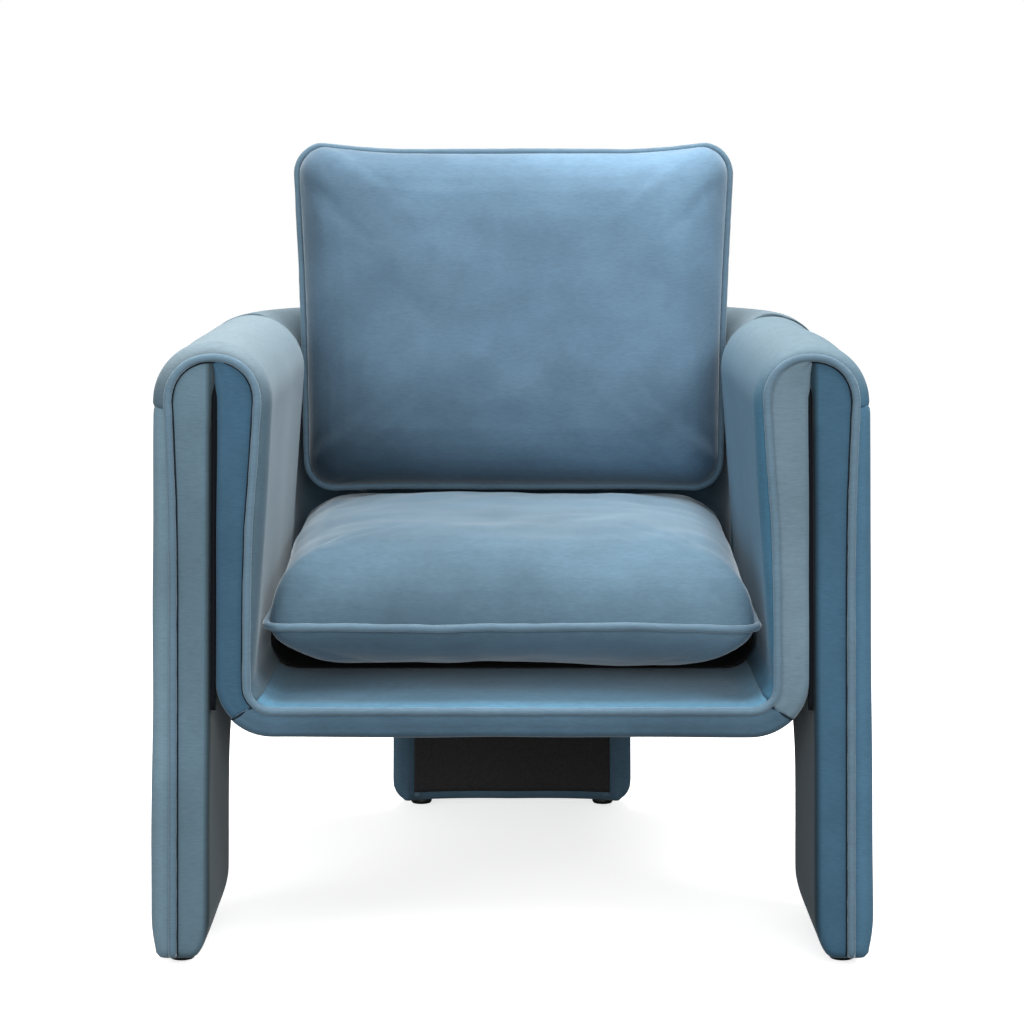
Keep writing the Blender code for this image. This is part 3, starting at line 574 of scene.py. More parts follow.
def arm_section():
    """Section of the right arm cover (x, z): outer seam, over the top, down inside to the mitre."""
    half = (OUTER_X - TOP_IN_X) / 2
    middle = TOP_IN_X + half
    rise = ARM_TOP_Z - WRAP_Z - 0.006
    points = [(OUTER_X - 0.005, WRAP_Z + 0.0004), (OUTER_X - 0.0012, WRAP_Z + 0.0006)]
    points.append((OUTER_X, WRAP_Z + 0.003))
    for a in np.linspace(0, math.pi, 25):
        points.append((middle + half * math.cos(a), WRAP_Z + 0.006 + rise * math.sin(a)))
    low = TROUGH_Z + CORNER_R
    points.append((inner_face_x(0.46), 0.46))
    points.append((inner_face_x(low), low))
    centre = (inner_face_x(low) - CORNER_R, low)
    points += arc(centre, CORNER_R, 0, -45, 6)[1:]
    return resample(points, 0.004)


def trough_section():
    """Section of the trough's cover (x, z), from the right mitre to the left one."""
    low = TROUGH_Z + CORNER_R
    centre = (inner_face_x(low) - CORNER_R, low)
    right = arc(centre, CORNER_R, -45, -90, 6)
    return resample(right + [(-x, z) for x, z in reversed(right)], 0.004)


def nearest_distance(point, line):
    return float(np.min(np.linalg.norm(line - np.array(point), axis=1)))


def swept_cover(section, rear_y, roll, end_tuck, rear_drop):
    """Cloth over a section swept from the front welt to rear_y; its front edge rolls in to the welt."""
    outward = line_normals(section) * -1
    seam = (section[:, 0] > OUTER_X - 0.008) & (section[:, 1] < WRAP_Z + 0.012)
    outward[seam] = (1.0, 0.0)
    full = np.concatenate([WELT_LINE, WELT_LINE[::-1] * np.array([-1.0, 1.0])])
    inset = np.array([nearest_distance(p, full) for p in section]) - 0.0018
    if seam.any():
        inset[seam] = inset[seam].max()
    profile = [(1.0, FACE_Y + 0.008), (1.0, FACE_Y + 0.0028), (0.97, FACE_Y + 0.0012)]
    for a in np.radians(np.linspace(6, 90, 14)):
        profile.append((0.95 * (1 - math.sin(a)), FACE_Y + 0.0006 + roll * (1 - math.cos(a))))
    for y in np.linspace(FACE_Y + roll + 0.004, rear_y - 0.007, 60):
        profile.append((0.0, y))
    rows = []
    for share, y in profile:
        flat = section - outward * (inset * share)[:, None]
        rows.append(np.stack([flat[:, 0], np.full(len(flat), y), flat[:, 1]], axis=1))
    middle_x = (OUTER_X + TOP_IN_X) / 2
    inner = np.clip((middle_x + 0.012 - section[:, 0]) / 0.030, 0.06, 1)[:, None]
    for step, drop in ((0.0040, 0.0006), (0.0060, 0.0022), (0.0068, rear_drop)):
        flat = section - outward * drop * inner
        rows.append(np.stack([flat[:, 0], np.full(len(flat), rear_y - 0.007 + step), flat[:, 1]], axis=1))
    points = np.array(rows)
    if end_tuck:
        last = points[:, -1, :].copy()
        for depth in end_tuck:
            step = last.copy()
            step[:, 0] -= outward[-1, 0] * depth
            step[:, 2] -= outward[-1, 1] * depth
            points = np.concatenate([points, step[:, None, :]], axis=1)
    return points


def fade_edges(shape, rows, columns):
    """Weights that fall to nothing at a grid's edges."""
    def ramp_up(count, width):
        along = np.arange(count)
        return np.clip(np.minimum(along, count - 1 - along) / width, 0, 1)

    return np.outer(ramp_up(shape[0], rows), ramp_up(shape[1], columns))


def make_arm_covers():
    for sign, side in ((-1, "left"), (1, "right")):
        points = swept_cover(arm_section(), BARREL_Y, 0.023, (0.001, 0.002), 0.007)
        fade = fade_edges(points.shape, 14, 8)
        points = undulate(points, 0.0022, 0.16, 3.0 + sign, fade)
        mesh = skin(f"arm_cover_{side}", mirrored(points, sign))
        nodes = (f"arm_wrap_{side}", f"inner_pad_{side}")
        new_piece(f"arm_cover_{side}", mesh, FABRIC[f"arm_{side}"], "chair", nodes)


def make_trough():
    points = swept_cover(trough_section(), TROUGH_HIGH.y + 0.012, 0.014, (), 0.006)
    points = undulate(points, 0.0012, 0.12, 8.0, fade_edges(points.shape, 12, 6))
    mesh = skin("trough_front", points)
    new_piece("trough_front", mesh, FABRIC["trough"], "chair", ("trough_cover",))


def band_lines():
    """Matched inner (welt) and outer lines of the bucket's front band, right side, top to middle."""
    top = (0.3074, WELT_LINE[TOP_INDEX, 1] - 0.003)
    inner = WELT_LINE[TOP_INDEX:]
    out_r = 0.060
    centre = (BUCKET_OUT_X - out_r, BUCKET_BOTTOM_Z + out_r)
    outer = [top, (BUCKET_OUT_X + 0.0022, top[1] - 0.024), (BUCKET_OUT_X, top[1] - 0.040)]
    outer += arc(centre, out_r, 0, -90, 24) + [(0.0, BUCKET_BOTTOM_Z)]
    outer = resample(outer, 0.002)
    matched = []
    corner_in = int(np.argmin(np.abs(inner[:, 0] - 0.2640) + np.abs(inner[:, 1] - TROUGH_Z - 0.0013)))
    turn = math.radians(-45)
    corner_pt = np.array([centre[0] + out_r * math.cos(turn), centre[1] + out_r * math.sin(turn)])
    corner_out = int(np.argmin(np.linalg.norm(outer - corner_pt, axis=1)))
    for i in range(len(inner)):
        if i <= corner_in:
            place = corner_out * i / corner_in
        else:
            share = (i - corner_in) / (len(inner) - 1 - corner_in)
            place = corner_out + (len(outer) - 1 - corner_out) * share
        low = min(int(place), len(outer) - 2)
        matched.append(outer[low] + (outer[low + 1] - outer[low]) * (place - low))
    return inner, np.array(matched), corner_in


def band_surface(inner, outer, rear_y):
    """Front band between the welt and the bucket's outer edge, rolled back along the outside."""
    across = outer - inner
    width = np.linalg.norm(across, axis=1, keepdims=True)
    unit = across / np.maximum(width, 1e-6)
    roll = np.minimum(0.010, width[:, 0] * 0.4)
    columns = []

    def column(flat, y):
        columns.append(np.stack([flat[:, 0], np.broadcast_to(y, len(flat)), flat[:, 1]], axis=1))

    tuck = np.minimum(0.0022, width * 0.25)
    column(inner + unit * tuck, FACE_Y + 0.007)
    column(inner + unit * tuck, FACE_Y + 0.002)
    for share in np.linspace(0.04, 1.0, 9):
        flat = inner + unit * (tuck + (width - tuck - roll[:, None]) * share)
        column(flat, FACE_Y - 0.0015 * math.sin(math.pi * share) + 0.0003)
    for a in np.radians(np.linspace(15, 90, 6)):
        flat = outer - unit * (roll * (1 - math.sin(a)))[:, None]
        column(flat, FACE_Y + roll * (1 - math.cos(a)))
    for y in np.linspace(FACE_Y + 0.014, rear_y, 28):
        swell = 0.0078 * min(1.0, (y - FACE_Y - 0.012) / 0.024)
        side = np.clip((outer[:, 1] - BUCKET_BOTTOM_Z - 0.060) / 0.030, 0, 1)
        column(outer + np.stack([swell * side, 0 * side], axis=1), y)
    return np.stack(columns, axis=0)


def make_bucket_bands():
    inner, outer, corner = band_lines()
    surface = band_surface(inner, outer, BARREL_Y)
    half = surface[:, : corner + 1]
    tucked = half[:, -1:].copy()
    tucked[:, :, 0] -= 0.0025
    tucked[:, :, 2] += 0.0025
    half = np.concatenate([half, tucked], axis=1)
    for sign, side in ((-1, "left"), (1, "right")):
        points = undulate(mirrored(half, sign), 0.0010, 0.10, 5.0 + sign, fade_edges(half.shape, 6, 6))
        mesh = skin(f"bucket_side_{side}", points)
        new_piece(f"bucket_side_{side}", mesh, FABRIC[f"band_{side}"], "chair", ())
    right = surface[:, corner:]
    tucked = right[:, :1].copy()
    tucked[:, :, 0] -= 0.0025
    tucked[:, :, 2] += 0.0025
    right = np.concatenate([tucked, right], axis=1)
    whole = np.concatenate([right[:, :-1], mirrored(right[:, ::-1], -1)], axis=1)
    points = undulate(whole, 0.0010, 0.10, 11.0, fade_edges(whole.shape, 6, 6))
    mesh = skin("bucket_bottom", points)
    new_piece("bucket_bottom", mesh, FABRIC["band_bottom"], "chair", ("bucket_pad",))


# ---------------------------------------------------------------- thick slabs
def edge_group(edge, sharp):
    """0 for a free edge, 1 for one sewn to a neighbour, 2 for one under the foot."""
    if all(sharp(v.co) for v in edge.verts):
        return 1
    return 2 if all(v.co.z < FOOT_Z + 0.004 for v in edge.verts) else 0


def flat_slab(name, outline, thickness, outer_roll, inner_roll, sharp, extra=None):
    """A padded board in its own plane (along, depth, up), remeshed to even, soft quads.

    sharp(point) is true on the edges that are sewn to a neighbour, which get a small roll.
    """
    bm = bmesh.new()
    faces = [[bm.verts.new((a, w, b)) for a, b in outline] for w in (0.0, thickness)]
    bm.faces.new(faces[0])
    bm.faces.new(list(reversed(faces[1])))
    count = len(outline)
    for i in range(count):
        j = (i + 1) % count
        bm.faces.new((faces[0][i], faces[0][j], faces[1][j], faces[1][i]))
    bmesh.ops.recalc_face_normals(bm, faces=bm.faces)
    for depth, roll in ((0.0, outer_roll), (thickness, inner_roll)):
        for group, width in ((0, roll), (1, 0.0035), (2, 0.009)):
            edges = [
                e
                for e in bm.edges
                if all(abs(v.co.y - depth) < 1e-5 for v in e.verts) and edge_group(e, sharp) == group
            ]
            if group == 1 and depth == thickness:
                continue
            bmesh.ops.bevel(
                bm, geom=edges, offset=width, offset_type="OFFSET", segments=5, profile=0.5, affect="EDGES"
            )
    mesh = mesh_from_bmesh(name, bm)
    obj = bpy.data.objects.new(name, mesh)
    bpy.context.scene.collection.objects.link(obj)
    if extra is not None:
        join = obj.modifiers.new("join", "BOOLEAN")
        join.operation = "UNION"
        join.object = extra
    remesh = obj.modifiers.new("remesh", "REMESH")
    remesh.mode = "VOXEL"
    remesh.voxel_size = VOXEL
    smooth = obj.modifiers.new("smooth", "SMOOTH")
    smooth.factor = 0.5
    smooth.iterations = 4
    graph = bpy.context.evaluated_depsgraph_get()
    result = bpy.data.meshes.new_from_object(obj.evaluated_get(graph))
    bpy.data.objects.remove(obj)
    if extra is not None:
        bpy.data.objects.remove(extra)
    return result


def slow_noise(points, size, seed):
    return np.array([noise.noise(Vector(p) / size + Vector((seed, seed, seed))) for p in points])


def side_outline():
    """Side view (y, z) of an arm slab with its front leg."""
    rear = FRONT_Y + LEG_DEPTH
    toe, heel = TOE_R, HEEL_R
    top = WRAP_Z + 0.0030
    points = [(FACE_Y, top)]
    points += arc((FACE_Y + toe, FOOT_Z + toe), toe, 180, 270, 8)
    points += arc((rear - heel, FOOT_Z + heel), heel, 270, 360, 12)
    points += arc((rear + ARCH_R, ARCH_Z - ARCH_R), ARCH_R, 180, 90, 14)
    points += [(BARREL_Y + 0.0015, ARCH_Z), (BARREL_Y + 0.0015, top)]
    return points


def arm_tongue():
    """The outer half of the arm's arched front face, above the slab, in the slab's own axes."""
    line = WELT_LINE[: TOP_INDEX + 1]
    line = line[line[:, 1] > WRAP_Z - 0.02]
    flat = [(OUTER_X - x, z) for x, z in line if x > 0.3066]
    flat = [(w + 0.0015, z - 0.001) for w, z in flat]
    flat = [(w, z) for w, z in flat if w < OUTER_X - 0.3066]
    flat.append((OUTER_X - 0.3066, flat[-1][1]))
    flat.append((OUTER_X - 0.3066, WRAP_Z + 0.022))
    flat.append((OUTER_X - SLAB_IN_X, WRAP_Z + 0.004))
    flat.append((OUTER_X - SLAB_IN_X, WRAP_Z - 0.02))
    bm = bmesh.new()
    ends = [[bm.verts.new((y, w, z)) for w, z in flat] for y in (FACE_Y, FACE_Y + 0.030)]
    bm.faces.new(ends[0])
    bm.faces.new(list(reversed(ends[1])))
    for i in range(len(flat)):
        j = (i + 1) % len(flat)
        bm.faces.new((ends[0][i], ends[0][j], ends[1][j], ends[1][i]))
    mesh = mesh_from_bmesh("tongue", bm)
    obj = bpy.data.objects.new("tongue", mesh)
    bpy.context.scene.collection.objects.link(obj)
    return obj


def foot_taper(depth, z, centre, share=0.34):
    """Thins a slab towards its foot around its welt line."""
    low = np.clip((0.050 + FOOT_Z - z) / 0.050, 0, 1.1)
    return centre + (depth - centre) * (1 - share * low**2.2)


def make_side_slabs():
    thickness = OUTER_X - SLAB_IN_X
    for sign, side in ((-1, "left"), (1, "right")):
        def sewn(co):
            return co.z > WRAP_Z or co.x > BARREL_Y

        mesh = flat_slab(f"side_slab_{side}", side_outline(), thickness, 0.015, 0.010, sewn, arm_tongue())

        def place(flat):
            along, depth, up = flat[:, 0], flat[:, 1], flat[:, 2]
            depth = foot_taper(depth, up, OUTER_X - 0.3475)
            depth = depth + 0.0012 * slow_noise(flat, 0.14, 20.0 + sign)
            return np.stack([sign * (OUTER_X - depth), along, up], axis=1)

        move_points(mesh, place)
        if sign > 0:
            mesh.flip_normals()
        nodes = (f"outer_pad_{side}", f"leg_pad_{side}")
        new_piece(f"side_slab_{side}", mesh, FABRIC[f"slab_{side}"], "chair", nodes)


# ---------------------------------------------------------------- curved back
def superellipse(half_x, reach, power, angle):
    x = half_x * abs(math.cos(angle)) ** (2 / power)
    y = reach * abs(math.sin(angle)) ** (2 / power)
    return math.copysign(x, math.cos(angle)), BARREL_Y + y


def barrel_table():
    """Outer and inner lines of the back in plan, and the length along the outer one."""
    angles = np.linspace(0, math.pi, 721)
    outer = np.array([superellipse(OUTER_X, BACK_Y - BARREL_Y, BACK_OUT_POWER, a) for a in angles])
    inner = np.array([superellipse(BACK_IN_X, BACK_IN_DEPTH, BACK_IN_POWER, a) for a in angles])
    steps = np.linalg.norm(np.diff(outer, axis=0), axis=1)
    along = np.concatenate(([0.0], np.cumsum(steps)))
    return outer, inner, along - along[-1] / 2


BARREL_OUT, BARREL_IN, BARREL_S = barrel_table()
BACK_HALF_S = float(BARREL_S[-1])


def on_barrel(s, share):
    """Plan point at a length s along the back and a share of its thickness."""
    ox, oy = (np.interp(s, BARREL_S, BARREL_OUT[:, k]) for k in (0, 1))
    ix, iy = (np.interp(s, BARREL_S, BARREL_IN[:, k]) for k in (0, 1))
    return ox + (ix - ox) * share, oy + (iy - oy) * share


def outline_back(leg_s):
    """Unrolled outline (s, z) of the back slab with the rear leg."""
    end = BACK_HALF_S
    heel = 0.028
    half = [(leg_s - heel, FOOT_Z)]
    half += arc((leg_s - heel, FOOT_Z + heel), heel, 270, 360, 8)[1:]
    half += arc((leg_s + ARCH_R, ARCH_Z - ARCH_R), ARCH_R, 180, 90, 14)
    half += [(end, ARCH_Z), (end, WRAP_Z + 0.0030)]
    return half + [(-s, z) for s, z in reversed(half)]


def make_back_slab():
    leg_x = REAR_LEG_HIGH.x
    leg_s = float(np.interp(leg_x, BARREL_OUT[::-1, 0], BARREL_S[::-1]))
    leg_s = abs(leg_s)
    thickness = 0.063

    def sewn(co):
        return co.z > WRAP_Z or abs(co.x) > BACK_HALF_S - 0.001

    mesh = flat_slab("back_slab", outline_back(leg_s), thickness, 0.019, 0.014, sewn)

    def place(flat):
        s, depth, up = flat[:, 0], flat[:, 1], flat[:, 2]
        depth = foot_taper(depth, up, thickness * 0.55, 0.10)
        depth = depth + 0.0015 * slow_noise(flat, 0.16, 31.0)
        x0, _ = on_barrel(s, 0.0)
        recess = np.clip((REAR_WELT_X + 0.004 - np.abs(x0)) / 0.008, 0, 1)
        recess = recess * np.clip((ARCH_Z - up) / 0.02, 0, 1)
        inner_side = np.clip((depth - thickness * 0.5) / (thickness * 0.4), 0, 1)
        depth = depth - 0.005 * recess * inner_side
        x, y = on_barrel(s, 0.0)
        xi, yi = on_barrel(s, 1.0)
        length = np.hypot(xi - x, yi - y)
        share = depth / length
        return np.stack([x + (xi - x) * share, y + (yi - y) * share, up], axis=1)

    move_points(mesh, place)
    new_piece(
        "back_slab", mesh, FABRIC["shell"], "chair", ("outer_pad_back", "rear_leg_pad")
    )


def make_back_cover():
    """Cloth from the outer seam over the rolled top and down the inside of the back."""
    rise = ARM_TOP_Z - WRAP_Z - 0.006
    section = [(0.045, WRAP_Z + 0.0004), (0.012, WRAP_Z + 0.0006), (0.0, WRAP_Z + 0.003)]
    for a in np.linspace(0, math.pi, 33):
        section.append(((1 - math.cos(a)) / 2, WRAP_Z + 0.006 + rise * math.sin(a)))
    section += [(1.0, 0.50), (1.0, 0.40), (1.0, TROUGH_LOW.z + 0.004)]
    scaled = np.array([(share * 0.118, z) for share, z in section])
    scaled = resample(scaled, 0.0045)
    ends = [-BACK_HALF_S + 0.0003 + d for d in (0.0, 0.0008, 0.003)]
    middle = list(np.linspace(-BACK_HALF_S + 0.008, BACK_HALF_S - 0.008, 150))
    stations = ends + middle + [-s for s in ends[::-1]]
    drops = [0.006, 0.0018, 0.0004] + [0.0] * 150 + [0.0004, 0.0018, 0.006]
    normal = line_normals(scaled) * -1
    rows = []
    for s, drop in zip(stations, drops):
        inner = np.clip((scaled[:, 0] - 0.045) / 0.030, 0.06, 1)[:, None]
        pulled = scaled - normal * drop * inner
        x, y = on_barrel(np.full(len(pulled), s), pulled[:, 0] / 0.118)
        rows.append(np.stack([x, y, pulled[:, 1]], axis=1))
    points = np.array(rows)
    points = undulate(points, 0.0030, 0.15, 40.0, fade_edges(points.shape, 8, 8))
    mesh = skin("back_cover", points)
    nodes = ("back_roll", "inner_pad_back")
    new_piece("back_cover", mesh, FABRIC["lining"], "chair", nodes)


# ---------------------------------------------------------------- welts
def make_front_welt():
    half = WELT_LINE
    path = np.concatenate([half, (half[:-1] * np.array([-1.0, 1.0]))[::-1]])
    path = resample(path, 0.004)
    toe_z = FOOT_Z + TOE_R
    line = []
    for x, z in path:
        turn = max(0.0, (toe_z - z) / TOE_R)
        line.append((x, FRONT_Y + WELT_R + TOE_R * (1 - math.sqrt(max(0.0, 1 - turn**2))), z))
    mesh = tube_mesh("front_piping", line, WELT_R, wobble=0.10)
    new_piece("front_piping", mesh, FABRIC["welt"], "chair", ("front_welt",))


def seam_shadow_line(name, line, body="chair"):
    """A narrow dark cord along a sewn seam: painted shade, standing for the shade in the seam."""
    mesh = tube_mesh(name, line, 0.0011, sides=8)
    new_piece(name, mesh, FABRIC["seam"], body)


def make_seam_and_slit_shadows():
    """Dark cords beside the front welt, along the mitres of the bucket's band and in the slits: painted shade,
    standing for the shade in these seams and slits.
    """
    inside = WELT_LINE + line_normals(WELT_LINE) * SEAM_OFFSET
    keep = inside[:, 1] > FOOT_Z + 0.004
    inside = inside[keep]
    path = np.concatenate([inside, (inside[:-1] * np.array([-1.0, 1.0]))[::-1]])
    toe = TOE_R
    line = []
    for x, z in resample(path, 0.002):
        below = max(0.0, toe - (z - FOOT_Z))
        line.append((x, FACE_Y + 0.0002 + toe - math.sqrt(toe * toe - below * below), z))
    seam_shadow_line("front_seam_shadow", line)
    # a dark cord fills each slit: too little shade falls into it otherwise
    for sign, side in ((-1, "left"), (1, "right")):
        top_z, foot_z = WRAP_LOW.z + 0.012, BUCKET_LOW.z + 0.028
        slit = [
            (sign * (SLIT_X - 0.0005), FACE_Y + 0.0110, top_z + 0.018),
            (sign * (SLIT_X - 0.0002), FACE_Y + 0.0080, top_z + 0.009),
        ]
        slit += [(sign * SLIT_X, FACE_Y + 0.0055, z) for z in np.linspace(top_z, foot_z, 40)]
        mesh = tube_mesh(f"slit_shadow_{side}", slit, SLIT_CORD_R, wobble=0.0, seed=sign)
        new_piece(f"slit_shadow_cord_{side}", mesh, FABRIC["slit"], "chair", ())
    inner, outer, corner = band_lines()
    for sign, side in ((-1, "left"), (1, "right")):
        (x0, z0), (x1, z1) = inner[corner], outer[corner]
        line = [(sign * (x0 + (x1 - x0) * f), FACE_Y - 0.0017, z0 + (z1 - z0) * f) for f in (0.12, 0.4, 0.70)]
        line.append((sign * (x0 + (x1 - x0) * 0.92), FACE_Y + 0.0010, z0 + (z1 - z0) * 0.92))
        line.append((sign * (x1 + 0.0004), FACE_Y + 0.009, z1 - 0.0004))
        seam_shadow_line(f"mitre_seam_shadow_{side}", line)


def make_rear_welts():
    for sign, side in ((-1, "left"), (1, "right")):
        low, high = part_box(f"rear_leg_welt_{side}")
        x = (low.x + high.x) / 2
        y = (low.y + high.y) / 2 + 0.006
        line = [(x, y, z) for z in np.linspace(low.z, high.z, 50)]
        mesh = tube_mesh(f"rear_leg_piping_{side}", line, WELT_R, wobble=0.10, seed=sign)
        new_piece(
            f"rear_leg_piping_{side}", mesh, FABRIC["welt"], "chair", (f"rear_leg_welt_{side}",)
        )


# ---------------------------------------------------------------- loose cushions
def rounded_outline(half_start, half_end, length, radius_start, radius_end, pull, sag_end):
    """Even points round a tapered cushion (u, v); pull draws its sides in between the corners."""
    half = arc((half_start - radius_start, radius_start), radius_start, 270, 360, 10)
    half += arc((half_end - radius_end, length - radius_end), radius_end, 0, 90, 10)
    closed = half + [(-u, v) for u, v in reversed(half)]
    line = resample(closed + closed[:1], 0.004)[:-1]
    u, v = line[:, 0].copy(), line[:, 1].copy()
    middle = np.sin(np.clip(v / length, 0, 1) * math.pi)
    across = 1 - np.clip((np.abs(u) / half_end - 0.50) / 0.40, 0, 1) ** 1.6
    far = np.clip(v / length * 2 - 1, 0, 1)
    near = np.clip(1 - v / length * 2, 0, 1)
    u = u * (1 - pull / half_end * middle**1.5)
    v = v - sag_end * across * far + pull * across * near
    return np.stack([u, v], axis=1)


def cushion_mesh(name, outline, rise, drop, powers):
    """Closed lens between the outline's two faces (u, v, w)."""
    centre = outline.mean(axis=0)
    rings = (0.30, 0.55, 0.72, 0.82, 0.89, 0.94, 0.97, 0.988, 0.997, 1.0)
    bm = bmesh.new()
    rim = None
    for height, power in ((rise, powers[0]), (-drop, powers[1])):
        middle = bm.verts.new((centre[0], centre[1], height))
        previous = None
        for ratio in rings:
            w = height * math.sqrt(max(0.0, 1 - ratio**power))
            if ratio == 1.0 and rim is not None:
                ring = rim
            else:
                ring = [bm.verts.new((*(centre + (p - centre) * ratio), w)) for p in outline]
            if ratio == 1.0:
                rim = ring
            for i in range(len(ring)):
                j = (i + 1) % len(ring)
                if previous is None:
                    bm.faces.new((middle, ring[i], ring[j]))
                else:
                    bm.faces.new((previous[i], ring[i], ring[j], previous[j]))
            previous = ring
    return mesh_from_bmesh(name, bm)


def inflate(obj, rim):
    """Fill the cushion by cloth simulation with its seam held; keep a capped share of the movement."""
    remesh = obj.modifiers.new("remesh", "REMESH")
    remesh.mode = "VOXEL"
    remesh.voxel_size = 0.0055
    graph = bpy.context.evaluated_depsgraph_get()
    fine = bpy.data.meshes.new_from_object(obj.evaluated_get(graph))
    obj.modifiers.clear()
    obj.data = fine
    start = np.empty(len(fine.vertices) * 3)
    fine.vertices.foreach_get("co", start)
    start = start.reshape(-1, 3)
    tree = KDTree(len(rim))
    for i, (u, v) in enumerate(rim):
        tree.insert((u, v, 0.0), i)
    tree.balance()
    found = [tree.find(p) for p in start]
    near_rim = np.array([f[2] for f in found])
    along_rim = np.array([f[1] for f in found]) * 0.004
    held = obj.vertex_groups.new(name="seam")
    for i, distance in enumerate(near_rim):
        if distance < 0.009:
            held.add([i], 1.0, "REPLACE")
    cloth = obj.modifiers.new("cloth", "CLOTH")
    settings = cloth.settings
    settings.quality = 5
    settings.mass = 0.3
    settings.tension_stiffness = 18
    settings.compression_stiffness = 12
    settings.shear_stiffness = 6
    settings.bending_stiffness = 0.6
    settings.air_damping = 3.0
    settings.use_pressure = True
    settings.uniform_pressure_force = CLOTH_PRESSURE
    settings.effector_weights.gravity = 0.0
    settings.vertex_group_mass = "seam"
    cloth.collision_settings.use_collision = False
    cloth.point_cache.frame_start = 1
    cloth.point_cache.frame_end = 20
    scene = bpy.context.scene
    for number in range(1, 21):
        scene.frame_set(number)
    graph = bpy.context.evaluated_depsgraph_get()
    swollen = obj.evaluated_get(graph).data
    after = np.empty(len(swollen.vertices) * 3)
    swollen.vertices.foreach_get("co", after)
    after = after.reshape(-1, 3)
    obj.modifiers.clear()
    scene.frame_set(1)
    moved = after - start
    length = np.linalg.norm(moved, axis=1, keepdims=True)
    after = start + moved * CLOTH_SHARE * np.minimum(1.0, CLOTH_CAP / np.maximum(length, 1e-9))
    fine.vertices.foreach_set("co", after.reshape(-1))
    fine.update()
    return after, near_rim, along_rim


def seam_wave(points, prefix):
    """How far the seam strays from its plane: filling never sits quite evenly."""
    flat = points * np.array([1.0, 1.0, 0.0])
    return 0.0034 * slow_noise(flat, 0.17, len(prefix) * 9.0) + 0.0012 * slow_noise(flat, 0.05, 90.0)


def make_cushion(prefix, outline, rise, drop, powers, to_world, wrinkle, nodes, material):
    body = f"{prefix}_cushion"
    mesh = cushion_mesh(f"{prefix}_cushion", outline, rise, drop, powers)
    obj = bpy.data.objects.new(f"{prefix}_cushion", mesh)
    bpy.context.scene.collection.objects.link(obj)
    points, near_rim, along_rim = inflate(obj, outline)
    points = wrinkle(points, near_rim)
    fade = np.exp(-near_rim / 0.016) * np.clip(near_rim / 0.006, 0, 1)
    gather = np.array([noise.noise(Vector((a * 62.0, 0.0, len(prefix)))) for a in along_rim])
    uneven = [abs(noise.noise(Vector((a * 4.0, 7.0, len(prefix))))) for a in along_rim]
    strength = 0.35 + np.array(uneven) * 2.4
    points[:, 2] -= 0.0021 * fade * gather * strength * np.sign(points[:, 2])
    points[:, 2] += seam_wave(points, prefix)
    points = to_world(points)
    obj.data.vertices.foreach_set("co", points.reshape(-1))
    obj.data.update()
    mesh = obj.data.copy()
    bpy.data.objects.remove(obj)
    mesh.name = f"{prefix}_cushion"
    piece = new_piece(f"{prefix}_cushion", mesh, material, body, nodes)
    detail = piece.modifiers.new("fine", "SUBSURF")
    detail.levels = detail.render_levels = 1
    rim = np.concatenate([outline, np.zeros((len(outline), 1))], axis=1)
    centre = outline.mean(axis=0)
    outwards = (outline - centre) / np.linalg.norm(outline - centre, axis=1, keepdims=True)
    rim[:, :2] += outwards * 0.0032
    rim[:, 2] += seam_wave(rim, prefix)
    tube = tube_mesh(f"{prefix}_piping", to_world(rim), WELT_R, closed=True, wobble=0.10, seed=len(prefix))
    new_piece(f"{prefix}_piping", tube, FABRIC["welt"], body, (f"{prefix}_cushion_welt",))


def make_seat_cushion():
    half = (SEAT_HIGH.x - SEAT_LOW.x) / 2 - 0.0078
    length = SEAT_HIGH.y - SEAT_LOW.y - 0.0156
    seam_z = (SEAT_HIGH.z + SEAT_LOW.z) / 2
    front_y = SEAT_LOW.y + 0.0078
    outline = rounded_outline(half, half, length, 0.020, 0.050, 0.003, 0.0)
    zip_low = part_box("back_zip_slider")[0]  # the back cushion rests just above the seat's rear

    def wrinkle(points, near_rim):
        depth = np.clip(near_rim / 0.05, 0, 1)
        swell = 0.0035 * slow_noise(points, 0.11, 50.0) + 0.0016 * slow_noise(points, 0.045, 51.0)
        out = points.copy()
        full = np.clip(points[:, 2] / 0.050, 0, 1) * np.clip((points[:, 1] - 0.08) / 0.20, 0, 1)
        out[:, 0] += 0.012 * full * np.sign(points[:, 0]) * np.clip(np.abs(points[:, 0]) / half, 0, 1) ** 2
        out[:, 2] += swell * depth * np.sign(points[:, 2])
        return out

    def to_world(points):
        droop = -0.003 * np.clip(1 - points[:, 1] / 0.12, 0, 1)
        y = points[:, 1] + front_y
        z = points[:, 2] + seam_z + droop
        pressed = np.clip((y - zip_low.y + 0.060) / 0.040, 0, 1)
        over = np.maximum(z - (zip_low.z - 0.0075), 0)
        z -= pressed * (over - 0.004 * np.tanh(over / 0.004))
        return np.stack([points[:, 0], y, z], axis=1)

    nodes = ("seat_cover_top", "seat_cover_bottom", "seat_filling")
    rise, drop = SEAT_TOP - seam_z - 0.008, seam_z - SEAT_UNDER - 0.006
    powers = (8.0, 2.4)
    make_cushion("seat", outline, rise, drop, powers, to_world, wrinkle, nodes, FABRIC["seat"])


